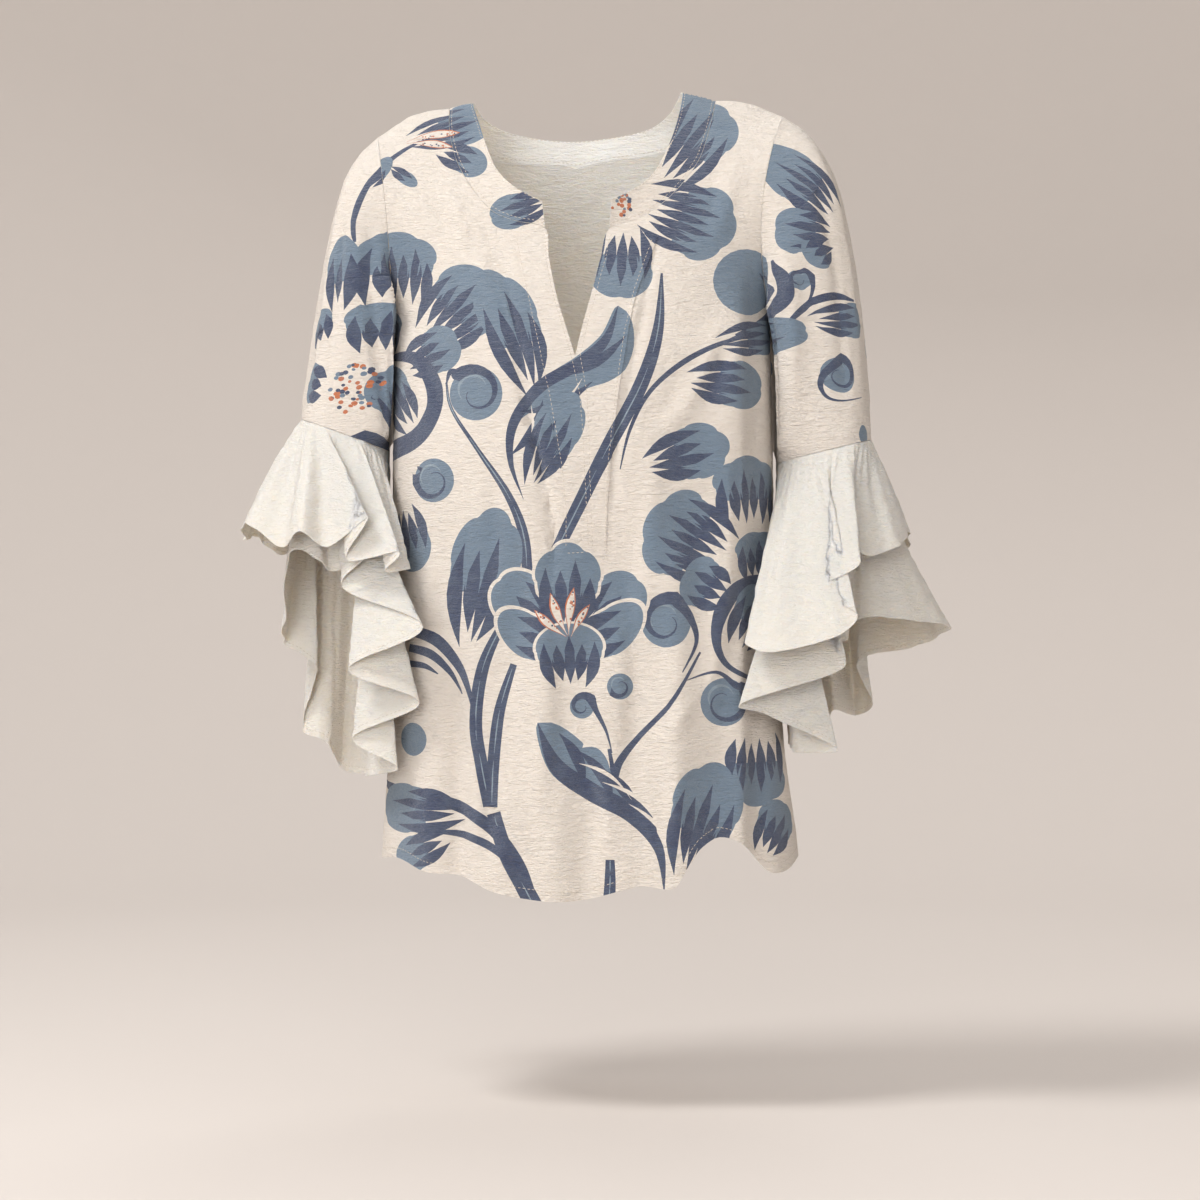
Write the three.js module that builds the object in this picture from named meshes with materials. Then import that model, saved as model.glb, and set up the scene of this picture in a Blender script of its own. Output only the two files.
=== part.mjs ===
// Blouse with a V neck, set-in elbow sleeves and two flounces on each sleeve.
// Millimetres, +Z up, the front faces -Y. The origin lies midway between the two side neck points.
// Every piece is one wall of cloth, worked out from the outlines and folds in the tables below.

import * as THREE from 'three';

// Cloth and seams
const CLOTH = 1.2;
const SEAM = 0.4;
const STRIP_CLOTH = 1.0;
const STRIP_LIFT = 0.5;

// Mesh steps
const UPPER_ROWS = 9;
const UPPER_STEPS = 2;
const LOWER_STEPS = 8;
const BACK_LOWER_STEPS = 7;
const STRIP_COLUMNS = 2;
const PANEL_COLUMNS = 12;
const BACK_COLUMNS = 10;
const SLEEVE_AROUND = 20;
const SLEEVE_STEPS = 8;
const STEPS_PER_FOLD = 3;
const UPPER_FLOUNCE_STEPS = 4;
const LOWER_FLOUNCE_STEPS = 6;
const BAND_STEPS = 2;

// Which row of the front the placket strips start and end on
const STRIP_TOP_ROW = 5;
const STRIP_END_ROW = UPPER_ROWS + 3 / LOWER_STEPS;
const ROW_SLACK = 0.01;

// Colours
const PRINTED = { color: 0xd9d2c8, roughness: 0.85, metalness: 0 };
const CREAM = { color: 0xefe4d2, roughness: 0.88, metalness: 0 };

// Height of the shoulder line across the body
const SHOULDER_LINE = [
  { x: -187, z: -38 },
  { x: -158, z: -19 },
  { x: -121, z: -11 },
  { x: 126, z: -4 },
  { x: 158, z: -7 },
  { x: 188, z: -19 },
];

// How far the cloth stands forward and back of the shoulder line, by the drop below that line
const PROFILE = [
  { drop: 0, front: 0, back: 0 },
  { drop: 12, front: 19, back: 22 },
  { drop: 40, front: 38, back: 46 },
  { drop: 80, front: 56, back: 66 },
  { drop: 130, front: 76, back: 86 },
  { drop: 180, front: 94, back: 98 },
  { drop: 240, front: 107, back: 103 },
  { drop: 320, front: 113, back: 100 },
  { drop: 450, front: 112, back: 100 },
  { drop: 600, front: 115, back: 107 },
  { drop: 745, front: 122, back: 114 },
];

// Side edges of the body below the underarm
const BODY_WIDTHS = [
  { z: -210, left: -172, right: 176 },
  { z: -300, left: -173, right: 178 },
  { z: -450, left: -174, right: 181 },
  { z: -600, left: -177, right: 189 },
  { z: -700, left: -183, right: 202 },
  { z: -745, left: -184, right: 203 },
];

// Inner edge of each half: down the neckline to its front corner, then down the V to its point
const NECK_ROWS = [
  { front_left: [-121.5, -11], front_right: [126.5, -4], back_left: [-121.5, -11], back_right: [126.5, -4] },
  { front_left: [-119, -44], front_right: [117, -43], back_left: [-106, -37], back_right: [112, -28] },
  { front_left: [-107.5, -77], front_right: [107, -69], back_left: [-76, -54], back_right: [78, -46] },
  { front_left: [-83, -111], front_right: [84, -99], back_left: [-4, -61], back_right: [-4, -61] },
  { front_left: [-60.5, -123], front_right: [55, -121], back_left: [0, -90], back_right: [0, -90] },
  { front_left: [-31.5, -131], front_right: [27, -132], back_left: [0, -124], back_right: [0, -124] },
  { front_left: [-27.5, -159], front_right: [19, -160], back_left: [0, -158], back_right: [0, -158] },
  { front_left: [-20.5, -194], front_right: [11.5, -190], back_left: [0, -190], back_right: [0, -190] },
  { front_left: [-12.5, -221], front_right: [3.5, -219], back_left: [0, -220], back_right: [0, -220] },
  { front_left: [-3.8, -249], front_right: [-3.8, -249], back_left: [0, -249], back_right: [0, -249] },
];

// Centre line of the front below the V, and the stitched outer edge of each placket strip
const PLACKET_ROWS = [
  { z: -125, centre: -3.8, left: -61, right: 73 },
  { z: -190, centre: -3.8, left: -48.5, right: 51 },
  { z: -249, centre: -3.8, left: -37, right: 41 },
  { z: -285, centre: 4, left: -29, right: 35 },
  { z: -370, centre: 8, left: -14.5, right: 26 },
  { z: -425, centre: 11, left: -14, right: 24.5 },
  { z: -745, centre: 8, left: -20, right: 30 },
];

// Hem height across the front and across the back
const FRONT_HEM = [
  { x: -184, z: -705 },
  { x: -165, z: -702 },
  { x: -139, z: -712 },
  { x: -105, z: -716 },
  { x: -77, z: -729 },
  { x: -30, z: -737 },
  { x: 5, z: -736 },
  { x: 54, z: -724 },
  { x: 85, z: -725 },
  { x: 96, z: -708 },
  { x: 110, z: -690 },
  { x: 128, z: -681 },
  { x: 149, z: -688 },
  { x: 168, z: -712 },
  { x: 187, z: -714 },
  { x: 203, z: -702 },
];
const BACK_HEM = [
  { x: -184, z: -704 },
  { x: -110, z: -694 },
  { x: 10, z: -690 },
  { x: 120, z: -689 },
  { x: 203, z: -701 },
];

// Soft folds: a line from top to low, how wide it is on each side, and how far it stands out
const FRONT_FOLDS = [
  { top: [148, -150], low: [147, -690], left: 18, right: 8, depth: 7 },
  { top: [163, -160], low: [163, -690], left: 9, right: 12, depth: -7 },
  { top: [84, -400], low: [90, -735], left: 15, right: 15, depth: 6 },
  { top: [0, -470], low: [4, -740], left: 20, right: 16, depth: -5 },
  { top: [46, -540], low: [54, -725], left: 12, right: 12, depth: -4 },
  { top: [-110, -500], low: [-106, -715], left: 12, right: 7, depth: -9 },
  { top: [-142, -430], low: [-140, -712], left: 14, right: 14, depth: 6 },
  { top: [-68, -600], low: [-66, -730], left: 14, right: 14, depth: 4 },
  { top: [-90, -112], low: [-22, -405], left: 4, right: 5, depth: -2 },
];
const BACK_FOLDS = [
  { top: [-128, -170], low: [-132, -700], left: 14, right: 10, depth: 7 },
  { top: [-60, -330], low: [-66, -700], left: 18, right: 14, depth: -6 },
  { top: [-8, -240], low: [-2, -700], left: 20, right: 18, depth: 7 },
  { top: [62, -300], low: [70, -700], left: 15, right: 18, depth: -6 },
  { top: [132, -170], low: [140, -700], left: 12, right: 15, depth: 7 },
];

// Sleeve rings from armhole to elbow seam: top or outer point, underarm or inner point, half depth
const SLEEVE_LEFT = [
  { outer_x: -187, outer_z: -38, inner_x: -172, inner_z: -214, half: 56 },
  { outer_x: -206, outer_z: -57, inner_x: -176, inner_z: -230, half: 60 },
  { outer_x: -220, outer_z: -85, inner_x: -177, inner_z: -243, half: 64 },
  { outer_x: -229, outer_z: -125, inner_x: -177.5, inner_z: -256, half: 64 },
  { outer_x: -236, outer_z: -165, inner_x: -177.5, inner_z: -269, half: 63 },
  { outer_x: -243, outer_z: -210, inner_x: -177.5, inner_z: -284, half: 62 },
  { outer_x: -250, outer_z: -254, inner_x: -177.5, inner_z: -300, half: 62 },
  { outer_x: -256, outer_z: -286, inner_x: -177.5, inner_z: -316, half: 62 },
  { outer_x: -258, outer_z: -301, inner_x: -177.5, inner_z: -330, half: 62 },
];
const SLEEVE_RIGHT = [
  { outer_x: 188, outer_z: -19, inner_x: 176, inner_z: -210, half: 56 },
  { outer_x: 208, outer_z: -33, inner_x: 180, inner_z: -228, half: 61 },
  { outer_x: 225, outer_z: -55, inner_x: 182, inner_z: -243, half: 65 },
  { outer_x: 239, outer_z: -88, inner_x: 182.5, inner_z: -258, half: 65 },
  { outer_x: 250, outer_z: -140, inner_x: 182.5, inner_z: -272, half: 64 },
  { outer_x: 257, outer_z: -187, inner_x: 182.5, inner_z: -288, half: 63 },
  { outer_x: 263, outer_z: -235, inner_x: 182.5, inner_z: -306, half: 62 },
  { outer_x: 268, outer_z: -285, inner_x: 182.5, inner_z: -324, half: 62 },
  { outer_x: 270, outer_z: -320, inner_x: 182.5, inner_z: -342, half: 62 },
];

const SLEEVE_TABLES = { left: SLEEVE_LEFT, right: SLEEVE_RIGHT };

// How far the front and back of each armhole scoop in toward the neck
const ARMHOLE_SCOOP = { left: 4, right: 16 };

// Flounce hems, a row for each fold edge. around runs outer 0, front 0.25, body side 0.5, back 0.75
const UPPER_HEM_LEFT = [
  { around: 0.0, x: -311, y: -8, z: -412 },
  { around: 0.05, x: -303, y: -68, z: -398 },
  { around: 0.1, x: -270, y: -86, z: -420 },
  { around: 0.15, x: -250, y: -112, z: -406 },
  { around: 0.175, x: -226, y: -104, z: -420 },
  { around: 0.2, x: -188, y: -128, z: -395 },
  { around: 0.245, x: -208, y: -114, z: -432 },
  { around: 0.29, x: -160, y: -130, z: -425 },
  { around: 0.335, x: -172, y: -122, z: -442 },
  { around: 0.375, x: -152, y: -104, z: -440 },
  { around: 0.42, x: -165, y: -80, z: -440 },
  { around: 0.48, x: -178.5, y: -42, z: -438 },
  { around: 0.56, x: -180, y: 14, z: -435 },
  { around: 0.64, x: -183, y: 66, z: -432 },
  { around: 0.7, x: -200, y: 108, z: -414 },
  { around: 0.76, x: -230, y: 94, z: -426 },
  { around: 0.83, x: -264, y: 114, z: -405 },
  { around: 0.89, x: -284, y: 72, z: -425 },
  { around: 0.95, x: -307, y: 44, z: -408 },
];
const LOWER_HEM_LEFT = [
  { around: 0.0, x: -276, y: 0, z: -490 },
  { around: 0.05, x: -264, y: -55, z: -425 },
  { around: 0.1, x: -236, y: -84, z: -432 },
  { around: 0.15, x: -222, y: -76, z: -442 },
  { around: 0.2, x: -192, y: -106, z: -430 },
  { around: 0.245, x: -212, y: -96, z: -458 },
  { around: 0.29, x: -138, y: -128, z: -492 },
  { around: 0.335, x: -206, y: -112, z: -530 },
  { around: 0.365, x: -142, y: -112, z: -560 },
  { around: 0.385, x: -204, y: -94, z: -592 },
  { around: 0.405, x: -163, y: -100, z: -618 },
  { around: 0.455, x: -192, y: -64, z: -628 },
  { around: 0.56, x: -193, y: 0, z: -630 },
  { around: 0.64, x: -197, y: 52, z: -632 },
  { around: 0.72, x: -226, y: 76, z: -630 },
  { around: 0.79, x: -240, y: 46, z: -602 },
  { around: 0.86, x: -264, y: 60, z: -588 },
  { around: 0.91, x: -248, y: 28, z: -532 },
  { around: 0.96, x: -276, y: 34, z: -510 },
];
const UPPER_HEM_RIGHT = [
  { around: 0.0, x: 304, y: -15, z: -405 },
  { around: 0.05, x: 291, y: -68, z: -418 },
  { around: 0.1, x: 260, y: -90, z: -428 },
  { around: 0.145, x: 240, y: -88, z: -412 },
  { around: 0.19, x: 250, y: -122, z: -436 },
  { around: 0.23, x: 212, y: -118, z: -460 },
  { around: 0.27, x: 246, y: -136, z: -480 },
  { around: 0.31, x: 228, y: -142, z: -500 },
  { around: 0.35, x: 172, y: -138, z: -514 },
  { around: 0.39, x: 148, y: -118, z: -506 },
  { around: 0.43, x: 162, y: -90, z: -495 },
  { around: 0.49, x: 184, y: -38, z: -482 },
  { around: 0.56, x: 187, y: 12, z: -470 },
  { around: 0.64, x: 189, y: 66, z: -462 },
  { around: 0.7, x: 206, y: 108, z: -440 },
  { around: 0.76, x: 236, y: 94, z: -450 },
  { around: 0.83, x: 264, y: 114, z: -430 },
  { around: 0.89, x: 286, y: 72, z: -440 },
  { around: 0.95, x: 307, y: 34, z: -420 },
];
const LOWER_HEM_RIGHT = [
  { around: 0.0, x: 343, y: -12, z: -493 },
  { around: 0.05, x: 306, y: -52, z: -487 },
  { around: 0.1, x: 266, y: -70, z: -483 },
  { around: 0.15, x: 246, y: -62, z: -490 },
  { around: 0.2, x: 240, y: -88, z: -505 },
  { around: 0.25, x: 206, y: -90, z: -500 },
  { around: 0.29, x: 238, y: -108, z: -528 },
  { around: 0.335, x: 146, y: -112, z: -560 },
  { around: 0.375, x: 170, y: -96, z: -572 },
  { around: 0.41, x: 232, y: -94, z: -602 },
  { around: 0.45, x: 198, y: -80, z: -606 },
  { around: 0.49, x: 194, y: -58, z: -604 },
  { around: 0.56, x: 195, y: 5, z: -600 },
  { around: 0.63, x: 200, y: 60, z: -600 },
  { around: 0.69, x: 232, y: 82, z: -590 },
  { around: 0.75, x: 240, y: 50, z: -572 },
  { around: 0.8, x: 262, y: 72, z: -578 },
  { around: 0.85, x: 276, y: 48, z: -565 },
  { around: 0.89, x: 262, y: 34, z: -525 },
  { around: 0.94, x: 316, y: 42, z: -512 },
];

// How the sideways spread of a flounce grows from seam to hem: below 1 early, above 1 late
const UPPER_SPREAD = 0.9;
const LOWER_SPREAD = 1.35;

// How far inside the sleeve's outline the lower flounce is sewn
const LOWER_INSET = 3;

// Free edge of the neck band, from the left front corner round the back to the right front corner.
// Its rows lie beside neckline rows 5 to 0 of the front, 1 to 3 and 2 to 1 of the back, 0 to 5 of the front.
const BAND_EDGE = [
  { x: -34, y: -76, z: -107 },
  { x: -59, y: -64, z: -92 },
  { x: -76, y: -52, z: -74 },
  { x: -86, y: -38, z: -50 },
  { x: -93, y: -22, z: -28 },
  { x: -99.5, y: 0, z: -6 },
  { x: -86, y: 30, z: -20 },
  { x: -58, y: 44, z: -30 },
  { x: -5, y: 50, z: -35 },
  { x: 56, y: 44, z: -27 },
  { x: 82, y: 30, z: -14 },
  { x: 95, y: 0, z: 4 },
  { x: 91, y: -24, z: -22 },
  { x: 82, y: -42, z: -50 },
  { x: 69, y: -56, z: -76 },
  { x: 53, y: -66, z: -92 },
  { x: 29, y: -76, z: -105 },
];
const FRONT_BAND_ROWS = 5;
const BACK_BAND_ROWS = 3;

// Roundness of the body: power of its section, and how squarely a row meets its outer edge
const SECTION_POWER = 2.7;
const SLEEVE_POWER = 2.6;
const ARMHOLE_EDGE = 1;
const SIDE_EDGE = 1 / SECTION_POWER;
const FOLD_START = 60;
const CENTRE_HEM_Z = -736;
const HEM_LEVEL = -700;
const SHOULDER_ROWS = 4;
const UNDERARM_ROW = UPPER_ROWS - 1;
const UNDERARM_STEP = 32;

const mix = (a, b, t) => a + (b - a) * t;
const clamp01 = (t) => Math.min(1, Math.max(0, t));
const ease = (t) => clamp01(t) ** 2 * (3 - 2 * clamp01(t));

// Smooth reading of one column of a table whose key rises or falls all the way, with its ends held
function read(table, key, column, at) {
  const end = table.length - 1;
  const rising = table[end][key] > table[0][key];
  let i = 0;
  while (i < end - 1 && (rising ? at > table[i + 1][key] : at < table[i + 1][key])) {
    i += 1;
  }
  const slope = (n) => {
    const before = table[Math.max(0, n - 1)];
    const after = table[Math.min(end, n + 1)];
    return (after[column] - before[column]) / (after[key] - before[key]);
  };
  const step = table[i + 1][key] - table[i][key];
  const t = clamp01((at - table[i][key]) / step);
  const hermite = new THREE.Vector4(
    2 * t ** 3 - 3 * t ** 2 + 1,
    t ** 3 - 2 * t ** 2 + t,
    -2 * t ** 3 + 3 * t ** 2,
    t ** 3 - t ** 2,
  );
  return hermite.dot(
    new THREE.Vector4(table[i][column], slope(i) * step, table[i + 1][column], slope(i + 1) * step),
  );
}

// Smooth reading of a list by a fractional row. A closed list runs on from its end to its start.
function readRow(list, pick, row, closed = false) {
  const i = Math.min(Math.floor(row), list.length - (closed ? 1 : 2));
  const at = (n) => {
    const held = Math.min(list.length - 1, Math.max(0, n));
    return pick(list[closed ? (n + list.length) % list.length : held]);
  };
  const t = row - i;
  const [a, b, c, d] = [at(i - 1), at(i), at(i + 1), at(i + 2)];
  const bend = (2 * a - 5 * b + 4 * c - d) * t ** 2 + (3 * b - 3 * c + d - a) * t ** 3;
  return 0.5 * (2 * b + (c - a) * t + bend);
}

// Armhole and sleeve rings: turn 0 is the top or outer point, a quarter turn is the front
function sleeveRing(side, step, turn) {
  const table = SLEEVE_TABLES[side];
  const value = (column) => readRow(table, (row) => row[column], step);
  const inward = side === 'left' ? 1 : -1;
  const angle = 2 * Math.PI * turn;
  const power = 2 / mix(2, SLEEVE_POWER, ease(step / 2));
  const squared = (value) => Math.sign(value) * Math.abs(value) ** power;
  const along = (1 - squared(Math.cos(angle))) / 2;
  const scoop = ARMHOLE_SCOOP[side] * Math.sin(angle) ** 2 * clamp01(1 - step / 2) ** 2;
  return new THREE.Vector3(
    mix(value('outer_x'), value('inner_x'), along) + inward * scoop,
    -value('half') * squared(Math.sin(angle)),
    mix(value('outer_z'), value('inner_z'), along),
  );
}

// Depth that the folds add at a point of the body
function foldDepth(folds, x, z) {
  let depth = 0;
  for (const fold of folds) {
    const t = clamp01((fold.top[1] - z) / (fold.top[1] - fold.low[1]));
    const offset = x - mix(fold.top[0], fold.low[0], t);
    const width = offset < 0 ? fold.left : fold.right;
    const start = ease((fold.top[1] - z) / FOLD_START);
    depth += fold.depth * start * Math.exp(-((offset / width) ** 2));
  }
  return depth;
}

// Outer edge of a half panel from row 0 to row 9: down the armhole, then down the side seam
function outerEdge(face, side, row) {
  const seam = (face === 'front' ? -SEAM : SEAM) / 2;
  if (row <= UNDERARM_ROW) {
    const point = sleeveRing(side, 0, 0.5 * row / UNDERARM_ROW);
    point.y = face === 'front' ? Math.min(point.y, seam) : Math.max(-point.y, seam);
    return point;
  }
  const z = sleeveRing(side, 0, 0.5).z - UNDERARM_STEP * (row - UNDERARM_ROW);
  return new THREE.Vector3(read(BODY_WIDTHS, 'z', side, z), seam, z);
}

// Body centre at a height, midway between the two side seams
const bodyCentre = (z) => mix(read(BODY_WIDTHS, 'z', 'left', z), read(BODY_WIDTHS, 'z', 'right', z), 0.5);

// Inner edge of a half panel: the neckline and V, then the centre line
function innerEdge(face, side, row) {
  if (row <= UPPER_ROWS) {
    const column = (n) => readRow(NECK_ROWS, (entry) => entry[`${face}_${side}`][n], row);
    return { x: column(0), z: column(1) };
  }
  const pointOfV = NECK_ROWS[UPPER_ROWS].front_left[1];
  const z = mix(pointOfV, CENTRE_HEM_Z, row - UPPER_ROWS);
  return { x: face === 'front' ? read(PLACKET_ROWS, 'z', 'centre', z) : 0, z };
}

// The share of the way from the body centre to the outer edge at which x lies on a row
function shareOf(face, side, row, x, z) {
  const edge = row <= UPPER_ROWS ? outerEdge(face, side, row).x : read(BODY_WIDTHS, 'z', side, z);
  return (x - bodyCentre(z)) / (edge - bodyCentre(z));
}

function innerShare(face, side, row) {
  const { x, z } = innerEdge(face, side, row);
  return shareOf(face, side, row, x, z);
}

// A point of the front or back. share is 0 at the body centre and 1 at the outer edge.
// Rows 0 to 9 run from the shoulder to the point of the V, and rows 9 to 10 run on to the hem.
function panelPoint(face, side, row, share) {
  const folds = face === 'front' ? FRONT_FOLDS : BACK_FOLDS;
  const upper = Math.min(row, UPPER_ROWS);
  const edge = outerEdge(face, side, upper);
  const inner = innerShare(face, side, upper);
  const fromInner = clamp01((share - inner) / (1 - inner));
  let z = mix(innerEdge(face, side, upper).z, edge.z, fromInner);
  let edgeX = edge.x;
  if (row > UPPER_ROWS) {
    const hem = face === 'front' ? FRONT_HEM : BACK_HEM;
    const hemX = mix(bodyCentre(HEM_LEVEL), read(BODY_WIDTHS, 'z', side, HEM_LEVEL), share);
    z = mix(z, read(hem, 'x', 'z', hemX), row - UPPER_ROWS);
    edgeX = read(BODY_WIDTHS, 'z', side, z);
  }
  const x = mix(bodyCentre(z), edgeX, share);
  const line = (at) => read(SHOULDER_LINE, 'x', 'z', at);
  const straight = mix(line(innerEdge(face, side, upper).x), line(edge.x), fromInner);
  z += (line(x) - straight) * clamp01(1 - row / SHOULDER_ROWS);
  const drop = line(x) - z;
  const out = face === 'front' ? -1 : 1;
  const depth = out * read(PROFILE, 'drop', face, Math.max(0, drop));
  const belowShoulder = (row - SHOULDER_ROWS) / (UPPER_ROWS - SHOULDER_ROWS);
  const square = mix(ARMHOLE_EDGE, SIDE_EDGE, ease(belowShoulder));
  const round = Math.max(0, 1 - Math.abs(share) ** SECTION_POWER) ** square;
  const fold = out * foldDepth(folds, x, z) * (1 - Math.abs(share) ** 8) * ease(drop / FOLD_START);
  return new THREE.Vector3(x, edge.y + (depth - edge.y) * round + fold, z);
}

// Shares at which the columns of a half panel stand, closer together round the side
function shares(face, side, row) {
  const start = innerShare(face, side, row);
  const list = [];
  let next = start;
  if (face === 'front') {
    const at = Math.max(row, STRIP_TOP_ROW);
    const { z } = innerEdge(face, side, at);
    const stitched = shareOf(face, side, at, read(PLACKET_ROWS, 'z', side, z), z);
    const atStart = innerShare(face, side, at);
    next = mix(start, 1, (stitched - atStart) / (1 - atStart));
    for (let i = 0; i < STRIP_COLUMNS; i += 1) {
      list.push(mix(start, next, i / STRIP_COLUMNS));
    }
  }
  const columns = face === 'front' ? PANEL_COLUMNS : BACK_COLUMNS;
  for (let i = 0; i <= columns; i += 1) {
    list.push(Math.sin(mix(Math.asin(next), Math.PI / 2, i / columns)));
  }
  return list;
}

// A sheet of cloth gathered from grids of points, which share the points where they meet
class Sheet {
  constructor() {
    this.points = [];
    this.faces = [];
    this.known = new Map();
  }

  id(point) {
    const key = point.toArray().map((value) => Math.round(value * 1000)).join();
    if (!this.known.has(key)) {
      this.known.set(key, this.points.length);
      this.points.push(point.clone());
    }
    return this.known.get(key);
  }

  add(grid, flip = false) {
    for (let i = 0; i + 1 < grid.length; i += 1) {
      for (let j = 0; j + 1 < grid[i].length; j += 1) {
        const corners = [grid[i][j], grid[i][j + 1], grid[i + 1][j + 1], grid[i + 1][j]];
        const [a, b, c, d] = corners.map((point) => this.id(point));
        for (const face of [[a, b, c], [a, c, d]]) {
          if (new Set(face).size === 3) {
            this.faces.push(flip ? face.reverse() : face);
          }
        }
      }
    }
    return this;
  }

  normals() {
    const sums = this.points.map(() => new THREE.Vector3());
    for (const face of this.faces) {
      const [a, b, c] = face.map((id) => this.points[id]);
      const normal = b.clone().sub(a).cross(c.clone().sub(a)).normalize();
      face.forEach((id) => sums[id].add(normal));
    }
    return sums.map((sum) => sum.normalize());
  }

  // Closed wall: this sheet outside, a copy moved in by the thickness, and a rim along each free edge.
  // square(point, inward) may turn the inward direction, so that an edge stays on its side of a seam.
  wall(name, material, thickness, square = null) {
    const count = this.points.length;
    const edges = new Map();
    for (const [a, b, c] of this.faces) {
      [[a, b], [b, c], [c, a]].forEach((edge) => edges.set(edge.join(), edge));
    }
    const free = [...edges.values()].filter(([a, b]) => !edges.has([b, a].join()));
    const onEdge = new Set(free.flat());
    const inner = this.normals().map((normal, id) => {
      const inward = normal.negate();
      if (square && onEdge.has(id)) {
        square(this.points[id], inward);
        inward.normalize();
      }
      return this.points[id].clone().addScaledVector(inward, thickness);
    });
    const faces = this.faces.flatMap((face) => [face, face.map((id) => id + count).reverse()]);
    for (const [a, b] of free) {
      faces.push([b, a, a + count], [b, a + count, b + count]);
    }
    const geometry = new THREE.BufferGeometry();
    const places = [...this.points, ...inner].flatMap((point) => point.toArray());
    geometry.setAttribute('position', new THREE.Float32BufferAttribute(places, 3));
    geometry.setIndex(faces.flat());
    geometry.computeVertexNormals();
    const mesh = new THREE.Mesh(geometry, new THREE.MeshStandardMaterial(material));
    mesh.name = name;
    return mesh;
  }
}

// Rows of a panel: half steps at the top where the neckline bends, then even steps to the hem
function panelRows(lowerSteps) {
  const rows = [];
  for (let i = 0; i < UPPER_ROWS * UPPER_STEPS; i += 1) {
    rows.push(i / UPPER_STEPS);
  }
  for (let i = 0; i <= lowerSteps; i += 1) {
    rows.push(UPPER_ROWS + i / lowerSteps);
  }
  return rows;
}

const gridOf = (face, side, rows) =>
  rows.map((row) => shares(face, side, row).map((share) => panelPoint(face, side, row, share)));

// The two halves of a panel, joined along the centre line from a given row down
function panelGrids(face, rows, joinRow) {
  const left = gridOf(face, 'left', rows);
  const right = gridOf(face, 'right', rows);
  rows.forEach((row, i) => {
    if (row >= joinRow) {
      right[i][0] = left[i][0];
    }
  });
  return { left, right };
}

// Edges that meet across the shoulder and side seams stay square to the seam
const BODY_SIDE = { left: 1, right: -1 };
const ARMHOLE_FROM = 150;
function squarePanel(point, inward) {
  if (Math.abs(point.y) < SEAM) {
    inward.y = 0;
  }
  const side = point.x < 0 ? 'left' : 'right';
  if (Math.abs(point.x) > ARMHOLE_FROM) {
    inward.x = BODY_SIDE[side] * Math.max(0, BODY_SIDE[side] * inward.x);
  }
}

const frontRows = panelRows(LOWER_STEPS);
const frontGrids = panelGrids('front', frontRows, UPPER_ROWS);
const backGrids = panelGrids('back', panelRows(BACK_LOWER_STEPS), BACK_BAND_ROWS);

function front() {
  const sheet = new Sheet().add(frontGrids.left).add(frontGrids.right, true);
  return sheet.wall('front', PRINTED, CLOTH, squarePanel);
}

function back() {
  const sheet = new Sheet().add(backGrids.left, true).add(backGrids.right);
  return sheet.wall('back', PRINTED, CLOTH, squarePanel);
}

// A strip from the V edge to its stitched line, made from the points of the front, moved out
function placket(side) {
  const rows = frontRows
    .map((row, i) => ({ row, i }))
    .filter(({ row }) => row >= STRIP_TOP_ROW && row < STRIP_END_ROW + ROW_SLACK);
  const under = rows.map(({ i }) => frontGrids[side][i].slice(0, STRIP_COLUMNS + 1));
  const grid = under.map((points) => points.map((point) => point.clone()));
  rows.forEach(({ row }, i) => {
    if (row >= UPPER_ROWS) {
      grid[i][0].x -= BODY_SIDE[side] * SEAM;
    }
  });
  const flip = side === 'right';
  const laid = new Sheet().add(grid, flip);
  laid.normals().forEach((normal, id) => laid.points[id].addScaledVector(normal, STRIP_LIFT + STRIP_CLOTH));
  return laid.wall(`placket_${side}`, PRINTED, STRIP_CLOTH);
}

// Neck band: a strip from the neckline to its free edge
function collarBand() {
  const stations = [];
  const step = 1 / UPPER_STEPS;
  for (let row = FRONT_BAND_ROWS; row > 0; row -= step) {
    stations.push({ face: 'front', side: 'left', row, at: FRONT_BAND_ROWS - row });
  }
  for (let row = 0; row <= BACK_BAND_ROWS; row += step) {
    stations.push({ face: 'back', side: 'left', row, at: FRONT_BAND_ROWS + row });
  }
  const turn = FRONT_BAND_ROWS + 2 * BACK_BAND_ROWS;
  for (let row = BACK_BAND_ROWS - step; row >= 0; row -= step) {
    stations.push({ face: 'back', side: 'right', row, at: turn - row });
  }
  for (let row = step; row <= FRONT_BAND_ROWS; row += step) {
    stations.push({ face: 'front', side: 'right', row, at: turn + row });
  }
  const columns = stations.map(({ face, side, row, at }) => {
    const seam = panelPoint(face, side, row, innerShare(face, side, row));
    seam.y = row === 0 ? 0 : seam.y;
    const read3 = (axis) => readRow(BAND_EDGE, (entry) => entry[axis], at);
    const edge = new THREE.Vector3(read3('x'), read3('y'), read3('z'));
    seam.add(edge.clone().sub(seam).setLength(SEAM));
    return Array.from({ length: BAND_STEPS + 1 }, (_, i) => seam.clone().lerp(edge, i / BAND_STEPS));
  });
  return new Sheet().add(columns).wall('collar_band', PRINTED, CLOTH);
}

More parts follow.
